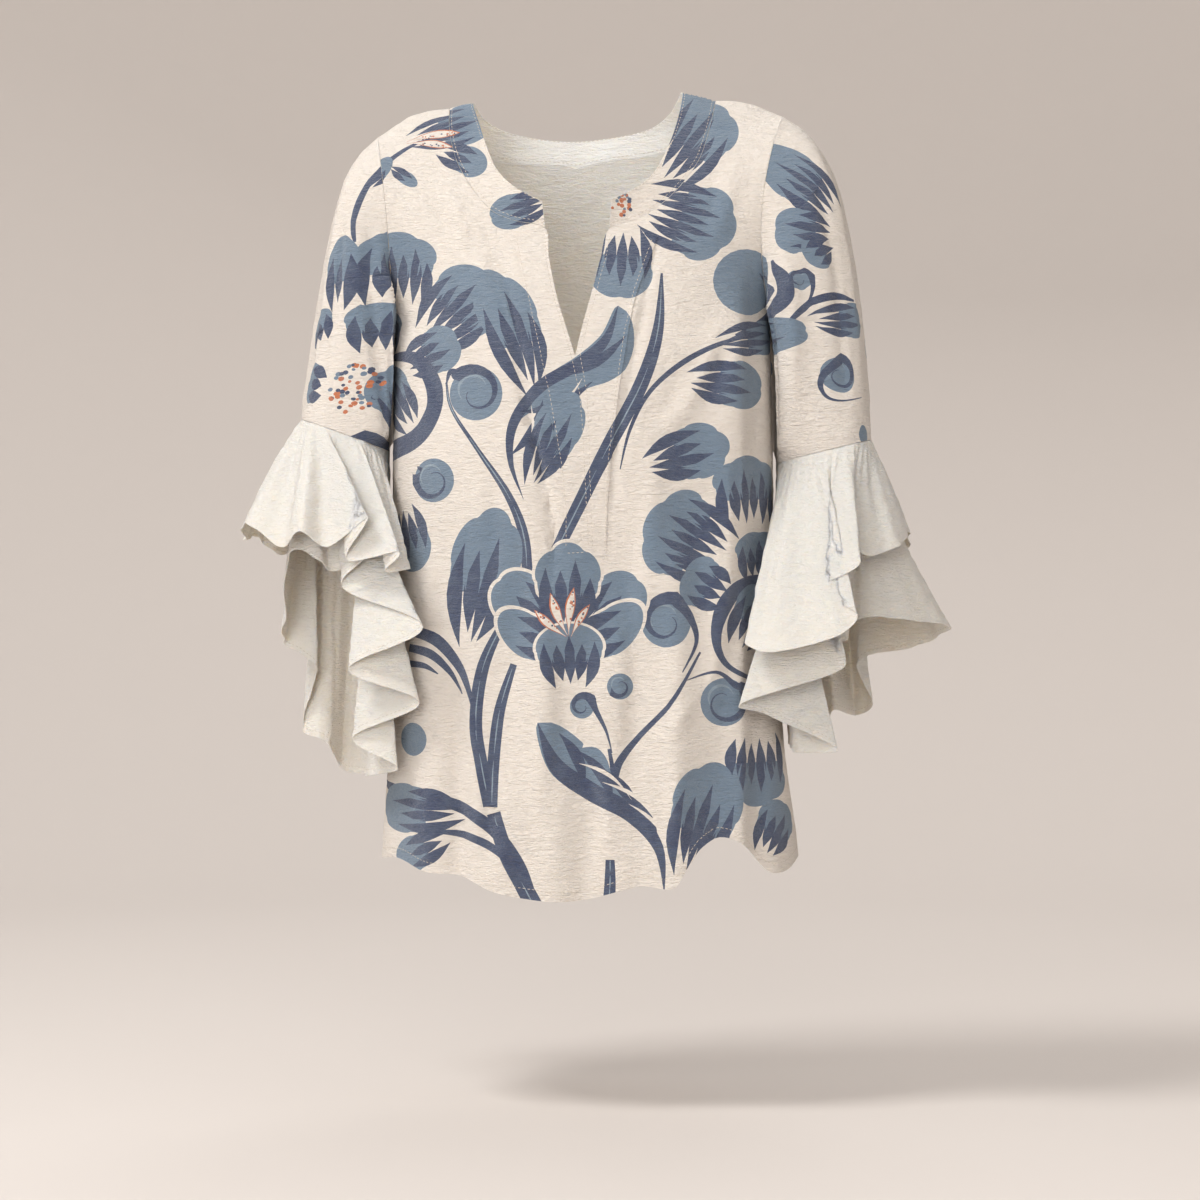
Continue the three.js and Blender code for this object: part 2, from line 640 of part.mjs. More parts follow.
// Sleeve: rings from the armhole to the elbow seam
function sleeve(side) {
  const last = SLEEVE_TABLES[side].length - 1;
  const away = -BODY_SIDE[side];
  const grid = [];
  for (let i = 0; i <= SLEEVE_STEPS; i += 1) {
    const ring = [];
    for (let j = 0; j <= SLEEVE_AROUND; j += 1) {
      const point = sleeveRing(side, last * i / SLEEVE_STEPS, (j % SLEEVE_AROUND) / SLEEVE_AROUND);
      point.x += i === 0 ? away * SEAM : 0;
      ring.push(point);
    }
    grid.push(ring);
  }
  const square = (point, inward) => {
    if (point.z > SLEEVE_TABLES[side][last].outer_z) {
      inward.x = away * Math.max(0, away * inward.x);
    }
  };
  return new Sheet().add(grid, side === 'left').wall(`sleeve_${side}`, PRINTED, CLOTH, square);
}

// Flounce: from the elbow seam down to its own hem, spreading sideways on the way
function flounce(side, tier, hem) {
  const last = SLEEVE_TABLES[side].length - 1;
  const inset = tier === 'upper' ? 0 : LOWER_INSET;
  const spread = tier === 'upper' ? UPPER_SPREAD : LOWER_SPREAD;
  const steps = tier === 'upper' ? UPPER_FLOUNCE_STEPS : LOWER_FLOUNCE_STEPS;
  const count = hem.length * STEPS_PER_FOLD;
  const middle = sleeveRing(side, last, 0).add(sleeveRing(side, last, 0.5)).multiplyScalar(0.5);
  const grid = [];
  for (let i = 0; i <= steps; i += 1) {
    grid.push([]);
  }
  for (let j = 0; j <= count; j += 1) {
    const row = (j % count) / STEPS_PER_FOLD;
    const value = (column) => readRow(hem, (entry) => entry[column], row, true);
    const from = Math.floor(row);
    const next = from + 1 < hem.length ? hem[from + 1].around : 1;
    const turn = mix(hem[from].around, next, row - from);
    const seam = sleeveRing(side, last, turn);
    const inward = middle.clone().sub(seam).setZ(0).setLength(inset);
    seam.add(inward).setZ(seam.z - SEAM);
    const foot = new THREE.Vector3(value('x'), value('y'), value('z'));
    grid.forEach((ring, i) => {
      const t = i / steps;
      const out = t ** spread;
      const point = seam.clone().lerp(foot, out);
      ring.push(point.setZ(mix(seam.z, foot.z, t)));
    });
  }
  return new Sheet().add(grid, side === 'left').wall(`flounce_${tier}_${side}`, CREAM, CLOTH);
}

const group = new THREE.Group();
group.add(
  front(),
  back(),
  collarBand(),
  placket('left'),
  placket('right'),
  sleeve('left'),
  sleeve('right'),
  flounce('left', 'upper', UPPER_HEM_LEFT),
  flounce('left', 'lower', LOWER_HEM_LEFT),
  flounce('right', 'upper', UPPER_HEM_RIGHT),
  flounce('right', 'lower', LOWER_HEM_RIGHT),
);

export default group;
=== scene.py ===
import math
import random

import bpy
import numpy as np
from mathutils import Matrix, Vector, geometry, noise
from mathutils.bvhtree import BVHTree


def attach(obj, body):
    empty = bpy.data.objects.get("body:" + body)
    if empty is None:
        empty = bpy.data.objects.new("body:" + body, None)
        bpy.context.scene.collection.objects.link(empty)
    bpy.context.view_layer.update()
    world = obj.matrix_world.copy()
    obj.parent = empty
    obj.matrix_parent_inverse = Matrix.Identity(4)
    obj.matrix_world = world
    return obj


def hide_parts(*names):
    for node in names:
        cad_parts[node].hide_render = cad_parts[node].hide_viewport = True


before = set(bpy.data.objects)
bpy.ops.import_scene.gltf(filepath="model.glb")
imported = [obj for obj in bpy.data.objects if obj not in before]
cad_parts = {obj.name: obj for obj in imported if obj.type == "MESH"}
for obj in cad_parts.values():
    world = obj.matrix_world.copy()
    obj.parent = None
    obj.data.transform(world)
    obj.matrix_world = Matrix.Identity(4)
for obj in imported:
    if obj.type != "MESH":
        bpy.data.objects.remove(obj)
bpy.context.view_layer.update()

# Blouse with a V neck, set-in elbow sleeves and two flounces on each sleeve.
# Tables are in millimetres in the frame of the solids, objects are in metres.
random.seed(7)
MM = 0.001

# Camera at the height of the middle of the blouse, three metres in front
camera_data = bpy.data.cameras.new("camera")
camera_data.lens = 96.8
camera_data.sensor_width = 36
camera = bpy.data.objects.new("camera", camera_data)
camera.location = (0.0186, -3.0, -0.468)
camera.rotation_euler = (math.radians(90), 0, 0)
bpy.context.scene.collection.objects.link(camera)
bpy.context.scene.camera = camera

# Cloth
SHELL = 0.7
SEAM = 0.4
STRIP_LIFT = 0.7

# Rows and shares, as in the solids
UPPER_ROWS = 9
STRIP_TOP_ROW = 5
STRIP_END_ROW = UPPER_ROWS + 3 / 8
SECTION_POWER = 2.7
SLEEVE_POWER = 2.6
ARMHOLE_EDGE = 1
SIDE_EDGE = 1 / SECTION_POWER
FOLD_START = 60
SHORT_FOLD_Z = -600
CENTRE_HEM_Z = -736
HEM_LEVEL = -700
SHOULDER_ROWS = 4
UNDERARM_ROW = UPPER_ROWS - 1
UNDERARM_STEP = 32
UPPER_SPREAD = 0.9
LOWER_SPREAD = 1.35
LOWER_INSET = 3
FRONT_BAND_ROWS = 5
BACK_BAND_ROWS = 3
BODY_SIDE = {"left": 1, "right": -1}
ARMHOLE_SCOOP = {"left": 4, "right": 16}


# A table from its column names and rows
def table(names, *rows):
    return {name: np.array([row[i] for row in rows], float) for i, name in enumerate(names.split())}


SHOULDER_LINE = table("x z", (-187, -38), (-158, -19), (-121, -11), (126, -4), (158, -7), (188, -19))
PROFILE = table(
    "drop front back",
    (0, 0, 0), (12, 19, 22), (40, 38, 46), (80, 56, 66), (130, 76, 86), (180, 94, 98),
    (240, 107, 103), (320, 113, 100), (450, 112, 100), (600, 115, 107), (745, 122, 114),
)
BODY_WIDTHS = table(
    "z left right",
    (-210, -172, 176), (-300, -173, 178), (-450, -174, 181),
    (-600, -177, 189), (-700, -183, 202), (-745, -184, 203),
)
NECK_ROWS = table(
    "front_left_x front_left_z front_right_x front_right_z back_left_x back_left_z back_right_x back_right_z",
    (-121.5, -11, 126.5, -4, -121.5, -11, 126.5, -4),
    (-119, -44, 117, -43, -106, -37, 112, -28),
    (-107.5, -77, 107, -69, -76, -54, 78, -46),
    (-83, -111, 84, -99, -4, -61, -4, -61),
    (-60.5, -123, 55, -121, 0, -90, 0, -90),
    (-31.5, -131, 27, -132, 0, -124, 0, -124),
    (-27.5, -159, 19, -160, 0, -158, 0, -158),
    (-20.5, -194, 11.5, -190, 0, -190, 0, -190),
    (-12.5, -221, 3.5, -219, 0, -220, 0, -220),
    (-3.8, -249, -3.8, -249, 0, -249, 0, -249),
)
PLACKET_ROWS = table(
    "z centre left right",
    (-125, -3.8, -61, 73), (-190, -3.8, -48.5, 51), (-249, -3.8, -37, 41), (-285, 4, -29, 35),
    (-370, 8, -14.5, 26), (-425, 11, -14, 24.5), (-745, 8, -20, 30),
)
FRONT_HEM = table(
    "x z",
    (-184, -705), (-165, -702), (-139, -712), (-105, -716), (-77, -729), (-30, -737), (5, -736), (54, -724),
    (85, -725), (96, -708), (110, -690), (128, -681), (149, -688), (168, -712), (187, -714), (203, -702),
)
BACK_HEM = table("x z", (-184, -704), (-110, -694), (10, -690), (120, -689), (203, -701))

# Soft folds: top point, low point, width on each side, depth. The first rows are those of the solids.
FOLD_COLUMNS = "top_x top_z low_x low_z left right depth"
FRONT_FOLDS = table(
    FOLD_COLUMNS,
    (148, -150, 147, -690, 18, 8, 7), (163, -160, 163, -690, 9, 12, -7), (146, -190, 147, -700, 26, 4, 5), (84, -400, 90, -735, 15, 15, 6),
    (0, -470, 4, -740, 20, 16, -5), (46, -540, 54, -725, 12, 12, -4), (-110, -500, -106, -715, 12, 7, -9),
    (-142, -430, -140, -712, 14, 14, 6), (-68, -600, -66, -730, 14, 14, 4), (-90, -112, -22, -405, 3.4, 3.4, -2.8),
    (-80, -108, -24, -400, 3, 3, -3), (-92, -106, -52, -235, 3, 3, -2.2), (74, -122, 30, -345, 3.2, 3.2, -3),
)
BACK_FOLDS = table(
    FOLD_COLUMNS,
    (-128, -170, -132, -700, 14, 10, 7), (-60, -330, -66, -700, 18, 14, -6), (-8, -240, -2, -700, 20, 18, 7),
    (62, -300, 70, -700, 15, 18, -6), (132, -170, 140, -700, 12, 15, 7),
)

# Creases of the cloth alone: start, end, half width and depth, fading out at both ends
CREASE_COLUMNS = "x0 z0 x1 z1 width depth"
FRONT_CREASES = table(
    CREASE_COLUMNS,
    (-160, -215, -120, -330, 7, -1.6), (-150, -200, -70, -285, 8, 1.2), (-148, -330, -128, -520, 8, -1.4),
    (140, -215, 100, -300, 8, -1.5), (128, -240, 60, -330, 9, 1.2), (134, -300, 128, -560, 7, -2.0),
    (112, -360, 104, -640, 10, 1.4), (60, -300, 44, -520, 9, 1.0), (32, -420, 40, -640, 8, -1.2),
    (-60, -330, -46, -560, 10, 1.1), (-90, -300, -84, -480, 8, -1.1), (-30, -430, -34, -700, 9, -1.3),
    (100, -650, 150, -735, 6, -2.2), (88, -690, 132, -742, 5, 1.8), (70, -560, 82, -720, 8, 1.3),
    (-100, -180, -40, -232, 6, 0.9), (60, -180, 30, -240, 6, 0.8), (-130, -80, -100, -150, 9, 1.2),
    (140, -60, 118, -150, 9, 1.3), (-84, -600, -90, -720, 7, -1.5), (20, -600, 14, -735, 8, 1.2),
    (-120, -560, -70, -640, 8, 0.8), (120, -520, 60, -610, 9, 0.9), (-20, -300, -60, -330, 6, 0.7),
    (168, -420, 176, -600, 9, -1.6), (-158, -480, -164, -640, 8, 1.4),
)
BACK_CREASES = table(
    CREASE_COLUMNS,
    (-150, -200, -90, -300, 8, 1.5), (150, -200, 90, -310, 8, 1.4), (-110, -120, -60, -220, 9, -1.2),
    (112, -110, 60, -210, 9, -1.2), (-30, -300, -36, -560, 9, -1.4), (34, -360, 30, -620, 9, 1.3),
    (-96, -420, -104, -640, 8, -1.3), (100, -400, 108, -640, 8, -1.5), (-150, -420, -156, -640, 9, 1.4),
    (158, -380, 166, -620, 9, 1.2), (0, -120, 4, -220, 9, 1.0), (-70, -560, -60, -690, 8, 1.3),
)

SLEEVE_COLUMNS = "outer_x outer_z inner_x inner_z half"
SLEEVE_TABLES = {
    "left": table(
        SLEEVE_COLUMNS,
        (-187, -38, -172, -214, 56), (-206, -57, -176, -230, 60), (-220, -85, -177, -243, 64),
        (-229, -125, -177.5, -256, 64), (-236, -165, -177.5, -269, 63), (-243, -210, -177.5, -284, 62),
        (-250, -254, -177.5, -300, 62), (-256, -286, -177.5, -316, 62), (-258, -301, -177.5, -330, 62),
    ),
    "right": table(
        SLEEVE_COLUMNS,
        (188, -19, 176, -210, 56), (208, -33, 180, -228, 61), (225, -55, 182, -243, 65),
        (239, -88, 182.5, -258, 65), (250, -140, 182.5, -272, 64), (257, -187, 182.5, -288, 63),
        (263, -235, 182.5, -306, 62), (268, -285, 182.5, -324, 62), (270, -320, 182.5, -342, 62),
    ),
}
LAST_RING = 8

HEM_COLUMNS = "around x y z"
HEMS = {
    ("upper", "left"): table(
        HEM_COLUMNS,
        (0.0, -311, -8, -412), (0.05, -303, -68, -398), (0.1, -270, -86, -420), (0.15, -250, -112, -406),
        (0.175, -226, -104, -420), (0.2, -188, -128, -395), (0.245, -208, -114, -432), (0.29, -160, -130, -425),
        (0.335, -172, -122, -442), (0.375, -152, -104, -440), (0.42, -165, -80, -440), (0.48, -178.5, -42, -438),
        (0.56, -180, 14, -435), (0.64, -183, 66, -432), (0.7, -200, 108, -414), (0.76, -230, 94, -426),
        (0.83, -264, 114, -405), (0.89, -284, 72, -425), (0.95, -307, 44, -408),
    ),
    ("lower", "left"): table(
        HEM_COLUMNS,
        (0.0, -276, 0, -490), (0.05, -264, -55, -425), (0.1, -236, -84, -432), (0.15, -222, -76, -442),
        (0.2, -192, -106, -430), (0.245, -212, -96, -458), (0.29, -138, -128, -492), (0.335, -206, -112, -530),
        (0.365, -142, -112, -560), (0.385, -204, -94, -592), (0.405, -163, -100, -618), (0.455, -192, -64, -628),
        (0.56, -193, 0, -630), (0.64, -197, 52, -632), (0.72, -226, 76, -630), (0.79, -240, 46, -602),
        (0.86, -264, 60, -588), (0.91, -248, 28, -532), (0.96, -276, 34, -510),
    ),
    ("upper", "right"): table(
        HEM_COLUMNS,
        (0.0, 304, -15, -405), (0.05, 291, -68, -418), (0.1, 260, -90, -428), (0.145, 240, -88, -412),
        (0.19, 250, -122, -436), (0.23, 212, -118, -460), (0.27, 246, -136, -480), (0.31, 228, -142, -500),
        (0.35, 172, -138, -514), (0.39, 148, -118, -506), (0.43, 162, -90, -495), (0.49, 184, -38, -482),
        (0.56, 187, 12, -470), (0.64, 189, 66, -462), (0.7, 206, 108, -440), (0.76, 236, 94, -450),
        (0.83, 264, 114, -430), (0.89, 286, 72, -440), (0.95, 307, 34, -420),
    ),
    ("lower", "right"): table(
        HEM_COLUMNS,
        (0.0, 343, -12, -493), (0.05, 306, -52, -487), (0.1, 266, -70, -483), (0.15, 246, -62, -490),
        (0.2, 240, -88, -505), (0.25, 206, -90, -500), (0.29, 238, -108, -528), (0.335, 146, -112, -560),
        (0.375, 170, -96, -572), (0.41, 232, -94, -602), (0.45, 198, -80, -606), (0.49, 194, -58, -604),
        (0.56, 195, 5, -600), (0.63, 200, 60, -600), (0.69, 232, 82, -590), (0.75, 240, 50, -572),
        (0.8, 262, 72, -578), (0.85, 276, 48, -565), (0.89, 262, 34, -525), (0.94, 316, 42, -512),
    ),
}

BAND_EDGE = table(
    "x y z",
    (-34, -76, -107), (-59, -64, -92), (-76, -52, -74), (-86, -38, -50), (-93, -22, -28), (-99.5, 0, -6),
    (-86, 30, -20), (-58, 44, -30), (-5, 50, -35), (56, 44, -27), (82, 30, -14), (95, 0, 4),
    (91, -24, -22), (82, -42, -50), (69, -56, -76), (53, -66, -92), (29, -76, -105),
)


def mix(a, b, t):
    return a + (b - a) * t


def clamp01(t):
    return np.clip(t, 0, 1)


def ease(t):
    return clamp01(t) ** 2 * (3 - 2 * clamp01(t))


# Smooth reading of one column of a table whose key rises or falls all the way, with its ends held
def read(rows, key, column, at):
    keys, values = rows[key], rows[column]
    end = len(keys) - 1
    sign = 1 if keys[end] > keys[0] else -1
    at = np.asarray(at, float)
    i = np.clip(np.searchsorted(sign * keys, sign * at) - 1, 0, end - 1)
    before = np.maximum(np.arange(end + 1) - 1, 0)
    after = np.minimum(np.arange(end + 1) + 1, end)
    slopes = (values[after] - values[before]) / (keys[after] - keys[before])
    step = keys[i + 1] - keys[i]
    t = clamp01((at - keys[i]) / step)
    return (
        (2 * t ** 3 - 3 * t ** 2 + 1) * values[i]
        + (t ** 3 - 2 * t ** 2 + t) * slopes[i] * step
        + (-2 * t ** 3 + 3 * t ** 2) * values[i + 1]
        + (t ** 3 - t ** 2) * slopes[i + 1] * step
    )


# Smooth reading of a column by a fractional row. A closed one runs on from its end to its start.
def read_row(values, row, closed=False):
    count = len(values)
    row = np.asarray(row, float)
    i = np.minimum(np.floor(row).astype(int), count - (1 if closed else 2))

    def at(n):
        return values[n % count] if closed else values[np.clip(n, 0, count - 1)]

    t = row - i
    a, b, c, d = at(i - 1), at(i), at(i + 1), at(i + 2)
    bend = (2 * a - 5 * b + 4 * c - d) * t ** 2 + (3 * b - 3 * c + d - a) * t ** 3
    return 0.5 * (2 * b + (c - a) * t + bend)


# Armhole and sleeve rings: turn 0 is the top or outer point, a quarter turn is the front
def sleeve_ring(side, step, turn):
    rows = SLEEVE_TABLES[side]
    angle = 2 * np.pi * np.asarray(turn, float)
    power = 2 / mix(2, SLEEVE_POWER, ease(np.asarray(step) / 2))

    def squared(value):
        return np.sign(value) * np.abs(value) ** power

    along = (1 - squared(np.cos(angle))) / 2
    scoop = ARMHOLE_SCOOP[side] * np.sin(angle) ** 2 * clamp01(1 - np.asarray(step) / 2) ** 2
    x = mix(read_row(rows["outer_x"], step), read_row(rows["inner_x"], step), along)
    y = -read_row(rows["half"], step) * squared(np.sin(angle))
    z = mix(read_row(rows["outer_z"], step), read_row(rows["inner_z"], step), along)
    return np.stack(np.broadcast_arrays(x + BODY_SIDE[side] * scoop, y, z), -1)


# Depth that the folds and creases add at points of the body
def fold_depth(folds, x, z):
    depth = np.zeros(np.shape(x))
    for top_x, top_z, low_x, low_z, left, right, deep in zip(*folds.values()):
        t = clamp01((top_z - z) / (top_z - low_z))
        offset = x - mix(top_x, low_x, t)
        width = np.where(offset < 0, left, right)
        fade = ease((top_z - z) / FOLD_START)
        if low_z > SHORT_FOLD_Z:
            fade = fade * ease((z - low_z) / FOLD_START + 1)
        depth += deep * fade * np.exp(-((offset / width) ** 2))
    return depth


CREASE_GAIN = 2.6


def crease_depth(creases, x, z):
    depth = np.zeros(np.shape(x))
    for x0, z0, x1, z1, width, deep in zip(*creases.values()):
        length = math.hypot(x1 - x0, z1 - z0)
        along = ((x - x0) * (x1 - x0) + (z - z0) * (z1 - z0)) / length ** 2
        bow = 0.06 * length * np.sin(np.pi * clamp01(along))
        across = ((x - x0) * (z1 - z0) - (z - z0) * (x1 - x0)) / length + bow
        fade = np.sin(np.pi * clamp01(along)) ** 1.5
        ridge = np.exp(-((across / width) ** 2)) - 0.45 * np.exp(-(((across - 1.5 * width) / width) ** 2))
        depth += CREASE_GAIN * deep * fade * ridge
    swell = 2.4 * np.sin(x / 17 + z / 170 + 0.9 * np.sin(z / 64)) + 1.5 * np.sin(x / 10.5 - z / 150 + 1.3 * np.sin(z / 47 + 1))
    return depth + swell * ease((-170 - z) / 380)


def outer_edge(face, side, row):
    seam = (-SEAM if face == "front" else SEAM) / 2
    ring = sleeve_ring(side, 0, 0.5 * np.minimum(row, UNDERARM_ROW) / UNDERARM_ROW)
    x, y, z = ring[..., 0], ring[..., 1], ring[..., 2]
    y = np.minimum(y, seam) if face == "front" else np.maximum(-y, seam)
    low = sleeve_ring(side, 0, 0.5)[2] - UNDERARM_STEP * (row - UNDERARM_ROW)
    below = row > UNDERARM_ROW
    x = np.where(below, read(BODY_WIDTHS, "z", side, low), x)
    return x, np.where(below, seam, y), np.where(below, low, z)


def body_centre(z):
    return mix(read(BODY_WIDTHS, "z", "left", z), read(BODY_WIDTHS, "z", "right", z), 0.5)


def inner_edge(face, side, row):
    upper = np.minimum(row, UPPER_ROWS)
    x = read_row(NECK_ROWS[f"{face}_{side}_x"], upper)
    z = read_row(NECK_ROWS[f"{face}_{side}_z"], upper)
    if face == "back":
        # Below the neck both halves meet on one straight line
        joined = upper > BACK_BAND_ROWS
        rows = np.arange(UPPER_ROWS + 1)
        x = np.where(joined, np.interp(upper, rows, NECK_ROWS[f"back_{side}_x"]), x)
        z = np.where(joined, np.interp(upper, rows, NECK_ROWS[f"back_{side}_z"]), z)
    below = row > UPPER_ROWS
    z = np.where(below, mix(NECK_ROWS["front_left_z"][-1], CENTRE_HEM_Z, row - UPPER_ROWS), z)
    centre = read(PLACKET_ROWS, "z", "centre", z) if face == "front" else 0
    return np.where(below, centre, x), z


def share_of(face, side, row, x, z):
    edge = np.where(row <= UPPER_ROWS, outer_edge(face, side, np.minimum(row, UPPER_ROWS))[0],
                    read(BODY_WIDTHS, "z", side, z))
    return (x - body_centre(z)) / (edge - body_centre(z))


def inner_share(face, side, row):
    x, z = inner_edge(face, side, row)
    return share_of(face, side, row, x, z)


# Points of the front or back. share is 0 at the body centre and 1 at the outer edge.
def panel_points(face, side, row, share, creased=True):
    row, share = np.broadcast_arrays(np.asarray(row, float), np.asarray(share, float))
    folds, creases = (FRONT_FOLDS, FRONT_CREASES) if face == "front" else (BACK_FOLDS, BACK_CREASES)
    upper = np.minimum(row, UPPER_ROWS)
    edge_x, edge_y, edge_z = outer_edge(face, side, upper)
    inner = inner_share(face, side, upper)
    inner_x, inner_z = inner_edge(face, side, upper)
    from_inner = clamp01((share - inner) / (1 - inner))
    z = mix(inner_z, edge_z, from_inner)
    below = row > UPPER_ROWS
    hem_x = mix(body_centre(HEM_LEVEL), read(BODY_WIDTHS, "z", side, HEM_LEVEL), share)
    hem = read(FRONT_HEM if face == "front" else BACK_HEM, "x", "z", hem_x)
    z = np.where(below, mix(z, hem, row - UPPER_ROWS), z)
    wide = np.where(below, read(BODY_WIDTHS, "z", side, z), edge_x)
    x = mix(body_centre(z), wide, share)

    def line(at):
        return read(SHOULDER_LINE, "x", "z", at)

    straight = mix(line(inner_x), line(edge_x), from_inner)
    z = z + (line(x) - straight) * clamp01(1 - row / SHOULDER_ROWS)
    drop = line(x) - z
    out = -1 if face == "front" else 1
    depth = out * read(PROFILE, "drop", face, np.maximum(0, drop))
    square = mix(ARMHOLE_EDGE, SIDE_EDGE, ease((row - SHOULDER_ROWS) / (UPPER_ROWS - SHOULDER_ROWS)))
    rounded = np.maximum(0, 1 - np.abs(share) ** SECTION_POWER) ** square
    relief = fold_depth(folds, x, z)
    if creased:
        relief = relief + crease_depth(creases, x, z)
    fold = out * relief * (1 - np.abs(share) ** 8) * ease(drop / FOLD_START)
    return np.stack([x, edge_y + (depth - edge_y) * rounded + fold, z], -1)


# Small uneven puckers of the crepe, the same wherever two layers share a point
def pucker(points, size, depth):
    return np.array([
        depth * (noise.noise(Vector((x / size, y / size, 2.2 * z / size)))
                 + 0.5 * noise.noise(Vector((3.1 + 2 * x / size, 2 * y / size, 5 * z / size))))
        for x, y, z in points
    ])


# Vertex normals from the faces, weighted by area
def normals_of(points, faces):
    total = np.zeros_like(points)
    for n in range(1, max(len(face) for face in faces) - 1):
        some = np.array([(face[0], face[n], face[n + 1]) for face in faces if len(face) > n + 1])
        if len(some):
            a, b, c = points[some[:, 0]], points[some[:, 1]], points[some[:, 2]]
            cross = np.cross(b - a, c - a)
            for k in range(3):
                np.add.at(total, some[:, k], cross)
    return total / np.maximum(np.linalg.norm(total, axis=1), 1e-9)[:, None]


# A closed shell of cloth from its outer points: outer side, inner side and a rim on every free edge.
# inks gives the dye of each outer face. Slot 0 is the outside, slot 1 the inside and the rim.
def shell(name, points, faces, materials, inks=None, thick=SHELL, pucker_size=16, pucker_depth=0.5):
    points = np.asarray(points, float)
    normals = normals_of(points, faces)
    relief = pucker(points, pucker_size, pucker_depth)[:, None]
    outer = points + normals * relief
    inner = outer - normals * thick
    count = len(points)
    directed = set()
    for face in faces:
        directed.update(zip(face, face[1:] + face[:1]))
    rim = [(b, a, a + count, b + count) for a, b in sorted(directed) if (b, a) not in directed]
    every = list(faces) + [tuple(i + count for i in reversed(face)) for face in faces] + rim
    mesh = bpy.data.meshes.new(name)
    mesh.from_pydata((np.vstack([outer, inner]) * MM).tolist(), [], every)
    mesh.polygons.foreach_set("material_index", [0] * len(faces) + [1] * (len(faces) + len(rim)))
    mesh.polygons.foreach_set("use_smooth", [True] * len(every))
    dye = mesh.attributes.new("ink", "FLOAT", "FACE")
    dye.data.foreach_set("value", list(inks if inks is not None else [0] * len(faces)) + [0] * (len(faces) + len(rim)))
    mesh.update()
    mesh.set_sharp_from_angle(angle=math.radians(60))
    piece = bpy.data.objects.new(name, mesh)
    bpy.context.scene.collection.objects.link(piece)
    for material in materials:
        mesh.materials.append(material)
    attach(piece, "root")
    return piece


# Faces of a grid of points, flipped where its rows run the other way
def grid_faces(rows, columns, flip=False, first=0):
    faces = []
    for i in range(rows - 1):
        for j in range(columns - 1):
            a = first + i * columns + j
            face = (a, a + 1, a + columns + 1, a + columns)
            faces.append(face[::-1] if flip else face)
    return faces


# Points at the same place made one
def weld(points, faces, *more):
    keys = {}
    ids = []
    keep = []
    for i, point in enumerate(np.round(points, 3).tolist()):
        key = tuple(point)
        if key not in keys:
            keys[key] = len(keep)
            keep.append(i)
        ids.append(keys[key])
    welded = []
    for face in faces:
        ring = [ids[i] for i in face]
        ring = [v for n, v in enumerate(ring) if v != ring[n - 1]]
        if len(set(ring)) >= 3:
            welded.append(tuple(ring))
    return (points[keep], welded) + tuple(part[keep] for part in more)


# Barycentric look-up in a flat mesh: for each place its triangle and the weights of the corners
class Finder:
    def __init__(self, places, faces):
        self.places = places
        self.triangles = [t for face in faces for t in ((face[0], face[1], face[2]), (face[0], face[2], face[3]))]
        self.tree = BVHTree.FromPolygons([(x, y, 0) for x, y in places.tolist()], self.triangles)

    def find(self, x, y):
        near, _, n, _ = self.tree.find_nearest(Vector((x, y, 0)))
        ids = self.triangles[n]
        a, b, c = (self.places[i] for i in ids)
        area = (b[0] - a[0]) * (c[1] - a[1]) - (b[1] - a[1]) * (c[0] - a[0])
        if abs(area) < 1e-9:
            return ids, np.array([1.0, 0.0, 0.0]), near
        v = ((near.x - a[0]) * (c[1] - a[1]) - (near.y - a[1]) * (c[0] - a[0])) / area
        w = ((b[0] - a[0]) * (near.y - a[1]) - (b[1] - a[1]) * (near.x - a[0])) / area
        return ids, np.array([1 - v - w, v, w]), near


# A piece of cloth before it is printed: a grid with its flat places, its surface and its front view
class Cloth:
    def __init__(self, flat, params, faces, surface, seen):
        self.flat = flat
        self.params = params
        self.faces = faces
        self.surface = surface
        self.points = surface(params)
        self.finder = Finder(flat, faces)
        seen_faces = [face for face in faces if seen(params[list(face)])]
        self.view = Finder(self.points[:, [0, 2]], seen_faces)

    # The flat place of a point given by its x and z as seen from the front, run on past the edges
    def place(self, x, z):
        ids, weights, near = self.view.find(x, z)
        flat = weights @ self.flat[list(ids)]
        return flat + np.array([x - near.x, z - near.y])

    # Cut the cloth along the outlines of the print. Returns points, triangles and the dye of each.
    def printed(self, shapes, flip=False):
        welded, faces = weld(np.column_stack([self.flat, np.zeros(len(self.flat))]), self.faces)
        loop = rim_loop(faces)
        low = self.flat.min(axis=0) - 1
        high = self.flat.max(axis=0) + 1
        places = [Vector((x, y)) for x, y, _ in welded.tolist()]
        outlines = [ccw(loop, places)]
        dyes = [0]
        for outline, ink in shapes:
            if (outline.max(axis=0) > low).all() and (outline.min(axis=0) < high).all():
                first = len(places)
                places += [Vector(point) for point in outline.tolist()]
                outlines.append(ccw(list(range(first, len(places))), places))
                dyes.append(ink)
        cut = geometry.delaunay_2d_cdt(places, [], outlines, 1, 0.02, True)
        places, triangles, origins = cut[0], cut[2], cut[5]
        kept = [(t, max(o)) for t, o in zip(triangles, origins) if 0 in o]
        used = sorted({v for t, _ in kept for v in t})
        number = {v: n for n, v in enumerate(used)}
        params = []
        for v in used:
            ids, weights, _ = self.finder.find(places[v].x, places[v].y)
            rows = self.params[list(ids)]
            params.append(weights @ rows)
        points = self.surface(np.array(params))
        faces = [tuple(number[v] for v in (t[::-1] if flip else t)) for t, _ in kept]
        return points, faces, [dyes[top] for _, top in kept]


def ccw(ids, places):
    area = sum(places[a].x * places[b].y - places[b].x * places[a].y for a, b in zip(ids, ids[1:] + ids[:1]))
    return ids if area > 0 else ids[::-1]


